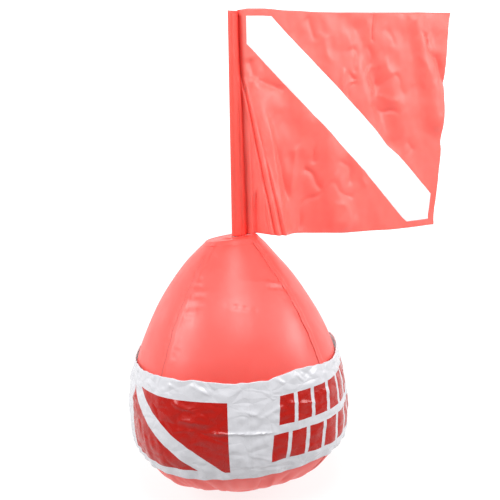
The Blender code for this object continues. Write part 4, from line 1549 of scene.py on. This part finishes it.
@dataclass
class DiverFlag:
    """The diver-down flag: a sleeve round the mast, the red sheet and its white stripe."""

    swing: float = math.radians(18)
    lean: float = math.radians(1.4)
    foot: Triple = (0.006, 0.0, 0.418)
    hoist: float = 0.356
    fly: float = 0.388
    mast_radius: float = 0.004
    ease: float = 0.0006
    tail_top: float = 0.0135
    tail_bottom: float = 0.021
    weld: float = 0.008
    border: float = 0.011
    corner: float = 0.042
    stripe_length: float = 0.476
    stripe_ease: float = 1.02
    pitch: float = 0.0024
    fine_pitch: float = 0.0011
    fine_to: float = 0.112
    groove: float = 0.0038
    groove_top: float = 0.0042
    groove_width: float = 0.0044
    low_places: tuple[float, ...] = (0.04, 0.055, 0.085, 0.13, 0.2, 0.3, 0.45, 0.6, 0.8, 1)
    low_drops: tuple[float, ...] = (0, 0.3, 2.3, 2.8, 0, -3.5, -6.5, -8, -8.5, -5)
    top_places: tuple[float, ...] = (0, 0.04, 0.07, 0.13, 0.25, 0.4, 1)
    top_drops: tuple[float, ...] = (0, 1.5, 3.2, 3.4, 0.5, -1.5, -0.5)
    edge_reach: float = 0.12
    mouth_dip: float = 0.005
    bend: float = 0.009
    bend_length: float = 0.06
    straight_to: float = 0.09
    straight_blend: float = 0.04
    slot_from: float = 0.225
    slot_blend: float = 0.06
    # Height, wavelength and seed of each unevenness of the film.
    unevenness: tuple[tuple[float, float, int], ...] = ((0.0010, 0.055, 31), (0.0003, 0.020, 32))
    # Depth, place and width of each dent along the sleeve's front, by its share of the way to the weld.
    dents: tuple[Triple, ...] = ((0.0022, 0.40, 0.13), (-0.0012, 0.68, 0.10))
    puff: float = 0.0012
    # Broad folds by shares of the fly and hoist: both ends, then the width and the height at each end.
    folds: tuple[tuple[float, ...], ...] = (
        (0.08, 0.82, 0.190, 0.00, 0.045, 0.135, 0.004, 0.074),
        (0.24, 0.62, 0.400, 0.00, 0.080, 0.120, -0.008, -0.024),
        (0.42, 0.50, 0.540, 0.06, 0.070, 0.090, 0.014, 0.022),
        (0.56, 0.92, 0.760, 0.40, 0.060, 0.080, -0.014, -0.026),
        (0.84, 0.96, 0.980, 0.50, 0.060, 0.090, 0.020, 0.036),
    )

    # Grid on which the folds are worked out, and the least share, squared, of a cloth's run that stays flat.
    fold_pitch: float = 0.001
    fold_steps: int = 421
    steepest: float = 0.04
    weld_reach: float = 0.02
    # Width of the weld colour down the groove: the weld, and painted shade of the groove.
    weld_and_groove_shade_width: float = 0.0035
    crumple: float = 0.0004
    crumple_pace: float = 140

    def frame(self) -> Matrix:
        """Frame of the flag: Z along the mast and X along the fly."""
        lean = Matrix.Rotation(self.lean, 4, "Y")
        return Matrix.Translation(self.foot) @ lean @ Matrix.Rotation(self.swing, 4, "Z")

    def tail(self, up: Array) -> Array:
        """How far the sleeve's weld lies from the mast's axis."""
        return self.tail_bottom + (self.tail_top - self.tail_bottom) * up / self.hoist

    def lift_off_foot(self) -> float:
        """Height of the flag's lower edge over the mast's place on the top disc."""
        return GAP + (self.tail_bottom + self.weld) * math.sin(self.lean)

    def creases(self) -> list[Crease]:
        """Sharp folds and dents of the flat flag, by metres along its fly and up its hoist.

        Returns:
            Every crease of the flag.
        """
        found = []
        for row in FLAG_CREASES:
            x, y, end_x, end_y, width, height, end_width = (length / 1000 for length in row[:7])
            loose = ("end" in row or "both" in row), ("start" in row or "both" in row)
            found.append(Crease((x, y), (end_x, end_y), width, height, end_width, *loose))
        return found

    def fold_height(self, along: Array, up: Array) -> Array:
        """How far the broad folds stand out of the flag's plane.

        Args:
            along: metres along the fly from the mast's axis.
            up: metres up the hoist.

        Returns:
            The height at each place.
        """
        total = np.zeros(np.broadcast(along, up).shape)
        for start_x, start_z, end_x, end_z, start_width, end_width, start_height, end_height in self.folds:
            x = along - start_x * self.fly
            y = up - start_z * self.hoist
            line_x = (end_x - start_x) * self.fly
            line_y = (end_z - start_z) * self.hoist
            length = math.hypot(line_x, line_y)
            place = (x * line_x + y * line_y) / length**2
            held = np.clip(place, 0, 1)
            side = np.abs(line_x * y - line_y * x) / length
            past = np.maximum(0, np.maximum(-place, place - 1)) * length
            width = self.fly * (start_width + (end_width - start_width) * held)
            height = self.hoist * (start_height + (end_height - start_height) * held)
            reach = np.minimum(1, np.hypot(side, past) / width)
            total += height * np.cos(math.pi * reach / 2) ** 2
        return total

    def relief(self, along: Array, up: Array) -> Array:
        """How far the sheet stands out of its plane, towards the viewer, with every fold and dent.

        Args:
            along: metres along the fly from the mast's axis.
            up: metres up the hoist.

        Returns:
            The height at each place.
        """
        total = self.fold_height(along, up)
        flat = np.stack(np.broadcast_arrays(along, up), axis=-1)
        bend = self.bend * smooth_step((along - self.straight_to) / self.straight_blend)
        bent_along = along + bend * ripples(flat, self.bend_length, seed=33)
        bent_up = up + bend * ripples(flat, self.bend_length, seed=34)
        for crease in self.creases():
            total += crease.relief(bent_along, bent_up)
        past = along - self.tail(up)
        uneven = sum(height * ripples(flat, length, seed=seed) for height, length, seed in self.unevenness)
        total = total + smooth_step(past / self.weld_reach) * uneven
        width = self.groove_width * (1 - 0.35 * self.slot(up))
        return total - self.groove_depth(up) * hump(past, width)

    def slot(self, up: Array) -> Array:
        """1 in the upper part, where the weld hangs in a deep narrow slot, and 0 below."""
        return smooth_step((up - self.slot_from) / self.slot_blend)

    def groove_depth(self, up: Array) -> Array:
        """How deep the sleeve's weld lies between the mast and the sheet."""
        return self.groove * (0.85 + 0.15 * np.cos(up * 23 + 1)) + self.groove_top * self.slot(up)

    def folded(self) -> Place:
        """Function that folds the flat flag: the folds take up cloth along the fly.

        Returns:
            A function that gives the points in space of places on the flat flag.
        """
        ups = np.arange(0, self.hoist + self.fold_pitch, self.fold_pitch)
        steps = np.linspace(0, 1, self.fold_steps)
        start = self.tail(ups)
        along = start[:, None] + (self.fly - start[:, None]) * steps
        run = np.diff(along, axis=1)
        rise = np.diff(self.fold_height(along, ups[:, None]), axis=1)
        taken = np.sqrt(np.maximum(self.steepest * run * run, run * run - rise * rise))
        x = start[:, None] + np.concatenate([np.zeros((len(ups), 1)), np.cumsum(taken, axis=1)], axis=1)
        frame = np.array(self.frame())
        foot = self.lift_off_foot()

        def place(u: Array, v: Array) -> Array:
            """Points in space of places on the flat flag.

            Args:
                u: metres along the fly.
                v: metres up the hoist.

            Returns:
                Points in space.
            """
            row = np.clip(v / self.fold_pitch, 0, len(ups) - 1.001)
            first = self.tail(v)
            column = np.clip((u - first) / (self.fly - first), 0, 1) * (len(steps) - 1.001)
            i, j = row.astype(int), column.astype(int)
            a, b = row - i, column - j
            low = x[i, j] * (1 - b) + x[i, j + 1] * b
            high = x[i + 1, j] * (1 - b) + x[i + 1, j + 1] * b
            share = u / self.fly
            near_low = smooth_step(1 - v / self.edge_reach)
            near_top = smooth_step(1 - (self.hoist - v) / self.edge_reach)
            drop = eased(share, self.low_places, self.low_drops) * near_low
            drop += eased(share, self.top_places, self.top_drops) * near_top
            local = [low * (1 - a) + high * a, -self.relief(u, v), foot + v + drop / 1000]
            return carried(np.stack(local, axis=-1), frame)

        return place

    def stripe_edges(self) -> list[tuple[Vector, Vector]]:
        """The stripe's outline on the flat flag, as a point on each edge and its inward direction.

        Returns:
            A point and a direction for each of the six edges.
        """
        left = self.tail_top + self.border
        right = self.fly - self.border
        low = self.border
        high = self.hoist - self.border
        slant = Vector((right - self.corner - left, low - high + self.corner)).normalized()
        upright = Vector((-slant.y, slant.x))
        return [
            (Vector((left, low)), Vector((1, 0))),
            (Vector((right, low)), Vector((-1, 0))),
            (Vector((left, low)), Vector((0, 1))),
            (Vector((left, high)), Vector((0, -1))),
            (Vector((left, high - self.corner)), upright),
            (Vector((left + self.corner, high)), -upright),
        ]

    def cut_sheet(self, wanted: int) -> Sheet:
        """Flat flag cut along the stripe's outline.

        Args:
            wanted: 1 keeps the stripe and -1 keeps the rest.

        Returns:
            The flat cut, with its UV map.
        """
        bm = bmesh.new()
        uv = bm.loops.layers.uv.new("flat")
        fine = np.arange(0, self.fine_to, self.fine_pitch)
        columns = np.concatenate([fine, np.arange(self.fine_to, self.fly, self.pitch), [self.fly]]) / self.fly
        rows = round(self.hoist / self.pitch)
        bmesh.ops.create_grid(bm, x_segments=len(columns) - 1, y_segments=rows, size=0.5)
        for vert in bm.verts:
            up = (vert.co.y + 0.5) * self.hoist
            start = float(self.tail(np.array(up))) + GAP
            share = np.interp(vert.co.x + 0.5, np.linspace(0, 1, len(columns)), columns)
            vert.co = (start + share * (self.fly - start), up, 0)
        edges = self.stripe_edges()
        for point, inward in edges:
            cut = {"plane_co": (*point, 0), "plane_no": (*inward, 0)}
            bmesh.ops.bisect_plane(bm, geom=[*bm.verts, *bm.edges, *bm.faces], dist=MERGE, **cut)
        others = []
        for face in bm.faces:
            middle = face.calc_center_median().xy
            depth = min((middle - point).dot(inward) for point, inward in edges)
            if depth * wanted < 0:
                others.append(face)
        bmesh.ops.delete(bm, geom=others, context="FACES")
        for face in bm.faces:
            for loop in face.loops:
                loop[uv].uv = loop.vert.co.xy
        return bm

    def make_cloth(self) -> None:
        """Make the red sheet and the white stripe, folded together."""
        place = self.folded()
        for name, node, slot, finish, wanted, wall in (
            ("flag_cloth", "flag_panel", "flag_vinyl", FLAG_FINISH_PAINTED_PALER, -1, SKIN),
            ("stripe_cloth", "flag_stripe", "stripe_vinyl", STRIPE_FINISH, 1, 0.8 * SKIN),
        ):
            bm = self.cut_sheet(wanted)
            area = sum(face.calc_area() for face in bm.faces)
            flat = np.array([vert.co[:2] for vert in bm.verts])
            past = flat[:, 0] - self.tail(flat[:, 1])
            mark = bm.verts.layers.float.new("weld")
            bm.verts.index_update()
            for vert, point in zip(bm.verts, place(flat[:, 0], flat[:, 1])):
                # The weld colour down the groove at the weld: the real weld, and painted shade of the groove.
                vert[mark] = 0.8 * hump(past[vert.index], self.weld_and_groove_shade_width)
                vert.co = point
            piece = new_piece(name, bm, finish.make(), "flag", slot, [node], wall, 0.0)

    def make_sleeve(self) -> None:
        """Make the sleeve: one strip from the weld's end round the mast and back to the weld."""
        place_panel = self.folded()
        frame = np.array(self.frame())
        radius = self.mast_radius + self.ease + SKIN / 2
        behind = SKIN + GAP
        foot = self.lift_off_foot()

        def section(s: Array, up: Array) -> tuple[Array, Array]:
            """Section of the sleeve in the flag's frame, from 1, where it leaves the weld, to 4.

            Args:
                s: place along the strip.
                up: metres up the hoist.

            Returns:
                Metres along the fly, and behind the flag's plane.
            """
            tail = self.tail(up)
            depth = self.groove_depth(up)
            back = depth + behind
            back_turn = np.arctan2(back, tail) + np.arccos(radius / np.hypot(tail, back))
            front_turn = np.arctan2(depth, tail) - np.arccos(radius / np.hypot(tail, depth)) + math.tau
            out = np.clip(s - 1, 0, 1)
            x = tail + (radius * np.cos(back_turn) - tail) * out
            y = back + (radius * np.sin(back_turn) - back) * out
            turn = back_turn + (front_turn - back_turn) * np.clip(s - 2, 0, 1)
            x = np.where(s > 2, radius * np.cos(turn), x)
            y = np.where(s > 2, radius * np.sin(turn), y)
            home = np.clip(s - 3, 0, 1)
            front_x = radius * np.cos(front_turn)
            front_y = radius * np.sin(front_turn)
            x = np.where(s > 3, front_x + (tail - front_x) * home, x)
            puff = self.puff * np.sin(math.pi * home) * (1 + 0.5 * np.cos(up * 31))
            dent = sum(depth * hump(home - middle, width) for depth, middle, width in self.dents)
            dent = dent * (1 - self.slot(up)) * (0.8 + 0.2 * np.cos(up * 40))
            y = np.where(s > 3, front_y + (depth - front_y) * home - puff + dent, y)
            return x, y

        def flat(u: Array, v: Array) -> Array:
            """Metres round and up the strip.

            Args:
                u: place along the strip, from 0 to 4.
                v: metres up the hoist.

            Returns:
                Two coordinates on the flat cut.
            """
            tail = self.tail(v)
            corners = np.stack([np.zeros_like(tail), tail * 0 + self.weld], axis=-1)
            lengths = [tail, math.pi * 1.15 * radius + 0 * tail, tail]
            places = np.concatenate([corners, corners[:, 1:] + np.cumsum(lengths, axis=0).T], axis=1)
            index = np.clip(u.astype(int), 0, 3)
            pick = np.arange(len(u))
            low, high = places[pick, index], places[pick, index + 1]
            return np.stack([low + (high - low) * (u - index), v], axis=-1)

        def place(u: Array, v: Array) -> Array:
            """Points of the strip's middle.

            Args:
                u: place along the strip, from 0 to 4.
                v: metres up the hoist.

            Returns:
                Points in space.
            """
            strip = place_panel(self.tail(v) + self.weld * (1 - np.clip(u, 0, 1)), v)
            x, y = section(u, v)
            near = smooth_step((u - 2.4) / 0.5)
            dip = self.mouth_dip * near * smooth_step(1 - (self.hoist - v) / 0.02)
            crumple = self.crumple * smooth_step(np.abs(u - 2.5) - 0.5)
            crumple = crumple * np.cos(v * self.crumple_pace + 5 * u)
            drop = (foot - 1.5 * GAP) * near * smooth_step(1 - v / 0.02)
            z = foot + v - dip - drop
            local = np.stack([x, y + crumple, z], axis=-1)
            return np.where((u < 1)[:, None], strip + frame[:3, 1] * behind, carried(local, frame))

        def weld(u: Array, v: Array) -> Array:
            """The doubled film down in the groove by the weld, and painted shade of the groove, darker in the
            deep slot above.
            """
            return 0.8 * smooth_step((u - 3.35) / 0.6) * (0.6 + 0.4 * self.slot(v))

        # Columns of the weld, of the back, round the mast and of the front.
        counts = (6, 10, 30, 16)
        columns = [part + k / count for part, count in enumerate(counts) for k in range(count)] + [4.0]
        rows = np.linspace(0, self.hoist, round(self.hoist / self.pitch) + 1)
        bm = draped_sheet(columns, rows, place, flat, weld)
        size, area = cut_size(bm)
        material = SLEEVE_FINISH.make()
        piece = new_piece("sleeve_cloth", bm, material, "flag", "flag_vinyl", ["flag_sleeve"], SKIN, 0.0)

    def build(self) -> None:
        """Make the whole flag."""
        self.make_sleeve()
        self.make_cloth()


def dress(name: str, material: Material) -> None:
    """Give a CAD node its finish.

    Args:
        name: the node's name.
        material: its finish.
    """
    mesh = FRAME["nodes"][name].data
    mesh.materials.clear()
    mesh.materials.append(material)
    for polygon in mesh.polygons:
        polygon.material_index = 0
    mesh.shade_smooth()
    mesh.set_sharp_from_angle(angle=SMOOTH_ANGLE)


@dataclass
class Mast:
    """The stiff tube with its two plugs, and the socket under the top disc."""

    def build(self) -> None:
        """Dress the mast's own pieces."""
        dress("mast_tube", MAST_FINISH.make())
        plug = PLUG_FINISH.make()
        for name in ("mast_foot", "mast_tip"):
            dress(name, plug)
        dress("mast_socket", SOCKET_FINISH.make())


@dataclass
class MouthValve:
    """The mouth valve on the back: a flange welded to the body, a stem and a plug cap on a strap."""

    azimuth: float = math.radians(90)
    height: float = 0.300
    weld_radius: float = 0.019
    collar_radius: float = 0.0086
    bore: float = 0.0064
    collar_height: float = 0.0043
    ridges: int = 5
    ridge_steps: int = 6
    ridge_height: float = 0.0002
    fillet: float = 0.0012
    lip: float = 0.0005

    def build(self) -> None:
        """Make the flange and dress the stem and the cap."""
        finish = VALVE_FINISH.make()
        frame = np.array(OUTLINE.frame(self.azimuth, self.height))
        top = GAP + SKIN
        fillet, lip = self.fillet, self.lip
        bends = [(math.sin(a), math.cos(a)) for a in np.radians(np.linspace(0, 90, 7))]
        corner = self.collar_radius + fillet
        rim = self.collar_height
        # Radius, height, and how far each place follows the body.
        profile = [(self.bore, GAP, 1.0), (self.weld_radius, GAP, 1.0), (self.weld_radius, top, 1.0)]
        count = self.ridges * self.ridge_steps
        for share in (k / count for k in range(1, count)):
            radius = self.weld_radius + (corner + fillet - self.weld_radius) * share
            ridge = self.ridge_height * math.sin(math.tau * self.ridges * share)
            profile.append((radius, top + ridge, 1.0))
        profile += [(corner - fillet * s, top + fillet * (1 - c), 1 - s) for s, c in bends]
        profile += [(self.collar_radius - lip * (1 - c), rim - lip * (1 - s), 0.0) for s, c in bends]
        profile += [(self.bore + lip * (1 - s), rim - lip * (1 - c), 0.0) for s, c in bends]
        profile.append(profile[0])
        radii, rises, shares = (np.array(column) for column in zip(*profile))
        steps = range(len(profile))

        def flat(u: Array, v: Array) -> Array:
            """Metres across the flange."""
            return ring_places(np.interp(v, steps, radii), u)

        def place(u: Array, v: Array) -> Array:
            """Points of the flange and its collar.

            Args:
                u: turn round the stem.
                v: place along the profile.

            Returns:
                Points in space.
            """
            x, y = flat(u, v).T
            laid = OUTLINE.lay(self.azimuth, self.height, x, y)[:, 2]
            z = np.interp(v, steps, rises) + laid * np.interp(v, steps, shares)
            return carried(np.stack([x, y, z], axis=-1), frame)

        columns = np.linspace(0, math.tau, 97)
        bm = draped_sheet(columns, steps, place, flat, closed=True)
        bmesh.ops.recalc_face_normals(bm, faces=bm.faces)
        new_piece("valve_weld", bm, finish, "float_body", "valve_plastic", ["valve_flange"])
        for name in ("valve_stem", "valve_cap"):
            dress(name, finish)


@dataclass
class TowPoint:
    """The welded patch low on the back, its webbing eye with two rows of stitches, and the D-ring."""

    azimuth: float = math.radians(90)
    height: float = 0.048
    patch_radius: float = 0.021
    patch_thickness: float = 0.0012
    rim_width: float = 0.005
    rim_depth: float = 0.0003
    knurl_depth: float = 0.0001
    knurls: int = 72
    strap_width: float = 0.019
    ply: float = 0.0014
    rise: float = 0.013
    drop: float = 0.010
    wire: float = 0.002
    ease: float = 0.0004
    eye_wall: float = 0.0016
    half_width: float = 0.0125
    corner: float = 0.003
    shank: float = 0.006
    edge: float = 0.0003
    stitches: int = 7
    first_stitch: float = 0.0035
    stitch_pitch: float = 0.0024
    stitch_across: float = 0.006
    stitch_half: Triple = (0.0004, 0.00105, 0.00035)

    def make_patch(self, material: Material) -> None:
        """Build the round patch, pressed to the body with a knurled rim.

        Args:
            material: its finish.
        """
        frame = np.array(OUTLINE.frame(self.azimuth, self.height))

        def flat(u: Array, v: Array) -> Array:
            """Metres across the patch."""
            return ring_places(v, u)

        def place(u: Array, v: Array) -> Array:
            """Points of the patch's outer face.

            Args:
                u: turn round the patch's middle.
                v: distance from its middle.

            Returns:
                Points in space.
            """
            x, y = flat(u, v).T
            z = OUTLINE.lay(self.azimuth, self.height, x, y)[:, 2] + GAP + self.patch_thickness
            rim = smooth_step((v - self.patch_radius + self.rim_width) / 0.0006)
            z -= rim * (self.rim_depth + self.knurl_depth * np.cos(self.knurls * u))
            return carried(np.stack([x, y, z], axis=-1), frame)

        columns = np.linspace(0, math.tau, 145)
        bm = draped_sheet(columns, np.linspace(0.0005, self.patch_radius, 60), place, flat, closed=True)
        close_middle(bm, frame[:3, 3])
        bmesh.ops.reverse_faces(bm, faces=bm.faces)
        where = ("float_body", "body_vinyl", ["tow_patch"])
        new_piece("tow_weld_patch", bm, material, *where, self.patch_thickness)

    def strap_path(self) -> tuple[list[Pair], float]:
        """Middle line of the webbing, as places up and out, and the height of the ring's bar.

        Returns:
            The line's corners, and the height.
        """
        bottom = 2 * GAP + self.patch_thickness
        eye = bottom + self.wire + self.ease + self.eye_wall
        bend = self.wire + self.ease + self.ply / 2
        low = bottom + self.ply / 2
        high = low + self.ply + GAP
        path = [(self.rise, low), (-self.drop, low)]
        angles = np.radians(np.linspace(-100, -350, 30))
        path += [(-self.drop + bend * math.cos(a), eye + bend * math.sin(a)) for a in angles]
        path += [(-self.drop + 2 * bend, high), (self.rise - self.ply, high)]
        return path, eye

    def make_strap(self, material: Material, thread: Material) -> float:
        """Build the webbing eye and its stitches.

        Args:
            material: the webbing's finish.
            thread: the thread's finish.

        Returns:
            Height of the ring's bar over the body.
        """
        frame = OUTLINE.frame(self.azimuth, self.height)
        turn = np.array(frame)
        path, eye = self.strap_path()
        ups, outs = np.array(path).T
        runs = run_along(ups, outs)

        def flat(u: Array, v: Array) -> Array:
            """Metres across and along the webbing."""
            return np.stack([u, v], axis=-1)

        def place(u: Array, v: Array) -> Array:
            """Points of the webbing's middle."""
            local = np.stack([u, np.interp(v, runs, ups), np.interp(v, runs, outs)], axis=-1)
            return carried(local, turn)

        half = self.strap_width / 2
        columns = np.linspace(-half, half, 25)
        bm = draped_sheet(columns, np.linspace(0, runs[-1], 110), place, flat)
        size, area = cut_size(bm, digits=4)
        piece = new_piece("webbing_eye", bm, material, "float_body", "webbing", ["tow_strap"], self.ply, 0.0)
        edge = piece.modifiers.new("edge", "BEVEL")
        edge.width = self.edge
        edge.segments = 2
        stitches = bmesh.new()
        top = 2 * GAP + self.patch_thickness + 2 * self.ply + GAP
        for side in (-1, 1):
            for k in range(self.stitches):
                up = self.rise - self.first_stitch - self.stitch_pitch * k
                spot = Matrix.Translation((side * self.stitch_across, up, top))
                shape = spot @ Matrix.Diagonal((*self.stitch_half, 1))
                bmesh.ops.create_icosphere(stitches, subdivisions=2, radius=1, matrix=shape)
        stitches.transform(frame)
        new_piece("webbing_stitches", stitches, thread, "float_body", "webbing")
        return eye

    def make_ring(self, material: Material, eye: float) -> None:
        """Build the D-ring of bent wire, welded in the middle of its bar.

        Args:
            material: its finish.
            eye: height of its bar over the body.
        """
        inner = self.half_width - self.corner
        turns = np.linspace(0, math.pi / 2, 9)
        corner = [(inner + self.corner * math.sin(a), self.corner * (1 - math.cos(a))) for a in turns]
        bows = np.linspace(0, math.pi, 41)
        bow = [(self.half_width * math.cos(a), self.shank + self.half_width * math.sin(a)) for a in bows]
        path = [*corner, *bow, *((-x, down) for x, down in reversed(corner))]
        curve = bpy.data.curves.new("d_ring", "CURVE")
        curve.dimensions = "3D"
        curve.bevel_depth = self.wire
        curve.bevel_resolution = 5
        spline = curve.splines.new("POLY")
        spline.points.add(len(path) - 1)
        for point, (x, down) in zip(spline.points, path):
            point.co = (x, 0, -down, 1)
        spline.use_cyclic_u = True
        shape = bpy.data.objects.new("d_ring_path", curve)
        mesh = shape.to_mesh()
        bm = bmesh.new()
        bm.from_mesh(mesh)
        bpy.data.objects.remove(shape)
        bpy.data.curves.remove(curve)
        pivot = OUTLINE.frame(self.azimuth, self.height) @ Vector((0, -self.drop, eye))
        bmesh.ops.translate(bm, verts=bm.verts, vec=pivot)
        bmesh.ops.recalc_face_normals(bm, faces=bm.faces)
        new_piece("d_ring", bm, material, "ring", "ring_steel", ["tow_ring"])

    def build(self) -> None:
        """Make the whole tow point."""
        self.make_patch(BODY_FINISH.make())
        eye = self.make_strap(WEBBING_FINISH.make(), THREAD_FINISH.make())
        self.make_ring(STEEL_FINISH.make(), eye)


@dataclass
class Studio:
    """A pale sweep, soft boxes either side and overhead, and the camera of the photograph."""

    lens: float = 64.8
    sensor_width: float = 36
    place: Triple = (0.0294, -1.4459, 0.6703)
    pitch: float = math.radians(79.19)
    roll: float = math.radians(-2.27)
    floor_radius: float = 5.0
    floor_bend: float = 1.6
    wall_height: float = 5.5
    # How bright the paper is before the float, round it, and how much more it is far behind it.
    floor_glow: Triple = (0.16, 0.84, 0.40)
    glow_before: Pair = (-0.55, -0.12)
    glow_behind: Pair = (0.6, 3.5)
    room_glow: float = 0.44
    aim: Triple = (0, 0, 0.35)
    # Name, place, width and height, and power of each soft box.
    boxes: tuple[tuple, ...] = (
        ("left_box", (-1.55, -0.85, 1.45), (1.3, 0.7), 26),
        ("right_box", (1.55, -0.62, 1.15), (0.8, 0.7), 16),
        ("top_box", (0.20, -1.15, 1.85), (0.75, 0.7), 19),
    )

    def add_camera(self) -> None:
        """Set the camera where the photograph was taken from."""
        data = bpy.data.cameras.new("camera")
        data.lens = self.lens
        data.sensor_width = self.sensor_width
        camera = show("camera", data)
        turn = Matrix.Rotation(self.pitch, 4, "X") @ Matrix.Rotation(self.roll, 4, "Z")
        camera.matrix_world = Matrix.Translation(self.place) @ turn
        bpy.context.scene.camera = camera

    def add_box(self, name: str, place: Sequence[float], size: Sequence[float], power: float) -> None:
        """Hang one soft box that looks at the float's middle.

        Args:
            name: the light's name.
            place: where it hangs.
            size: its width and height.
            power: its power in watts.
        """
        data = bpy.data.lights.new(name, "AREA")
        data.shape = "RECTANGLE"
        data.size, data.size_y = size
        data.energy = power
        light = show(name, data)
        light.location = place
        aim = Vector(self.aim) - Vector(place)
        light.rotation_euler = aim.to_track_quat("-Z", "Y").to_euler()

    def add_sweep(self) -> None:
        """Lay the round pale floor, which curves up into a backdrop on every side."""
        bends = np.radians(np.linspace(-90, 0, 13))
        reach = self.floor_radius - self.floor_bend
        profile = [(0.0, 0.0), (reach / 4, 0.0), (reach / 2, 0.0)]
        profile += [
            (reach + self.floor_bend * math.cos(a), self.floor_bend * (1 + math.sin(a))) for a in bends
        ]
        profile.append((self.floor_radius, self.wall_height))
        bm = bmesh.new()
        corners = [bm.verts.new((radius, 0, height)) for radius, height in profile]
        edges = [bm.edges.new(pair) for pair in zip(corners, corners[1:])]
        round_z = {"cent": (0, 0, 0), "axis": (0, 0, 1), "angle": math.tau, "steps": 96}
        bmesh.ops.spin(bm, geom=[*corners, *edges], use_merge=True, **round_z)
        bmesh.ops.remove_doubles(bm, verts=bm.verts, dist=GAP)
        bmesh.ops.recalc_face_normals(bm, faces=bm.faces)
        bmesh.ops.reverse_faces(bm, faces=bm.faces)
        mesh = bpy.data.meshes.new("sweep")
        bm.to_mesh(mesh)
        bm.free()
        mesh.shade_smooth()
        # Rolled matt paper that glows by its own emission, as painted light: it burns out to white round the
        # float and stays dimmer before it, as a studio's floor does.
        nodes = Nodes("glowing_matt_white_paper")
        place = {"Vector": nodes.place()}
        depth = nodes.add("ShaderNodeSeparateXYZ", links=place).outputs["Y"]
        near = nodes.range(depth, self.floor_glow[:2], *self.glow_before)
        far = nodes.range(depth, (0.0, self.floor_glow[2]), *self.glow_behind)
        settings = {"Base Color": linear("#6E6E6E"), "Roughness": 0.9, "Emission Color": linear("#FFFFFF")}
        material = nodes.finish(settings, {"Emission Strength": nodes.math("ADD", near, far)})
        mesh.materials.append(material)
        sweep = show("sweep", mesh)

    def build(self) -> None:
        """Light the scene and set the camera."""
        self.add_camera()
        self.add_sweep()
        for box in self.boxes:
            self.add_box(*box)
        world = bpy.data.worlds.new("white_room")
        world.use_nodes = True
        background = world.node_tree.nodes["Background"]
        background.inputs["Color"].default_value = linear("#FFFFFF")
        background.inputs["Strength"].default_value = self.room_glow
        bpy.context.scene.world = world
        bpy.context.scene.view_settings.view_transform = "Standard"


def main() -> None:
    """Build the float round its frame."""
    for obj in list(bpy.data.objects):
        if obj not in FRAME["nodes"].values() and obj not in FRAME["bodies"].values():
            bpy.data.objects.remove(obj, do_unlink=True)
    Studio().build()
    InflatedBody().build()
    BellyBand().build()
    DiverFlag().build()
    Mast().build()
    MouthValve().build()
    TowPoint().build()
    dress("ballast_weight", IRON_FINISH.make())


logging.basicConfig(level=logging.INFO, format="%(name)s: %(message)s")
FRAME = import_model()

if __name__ == "__main__":
    main()
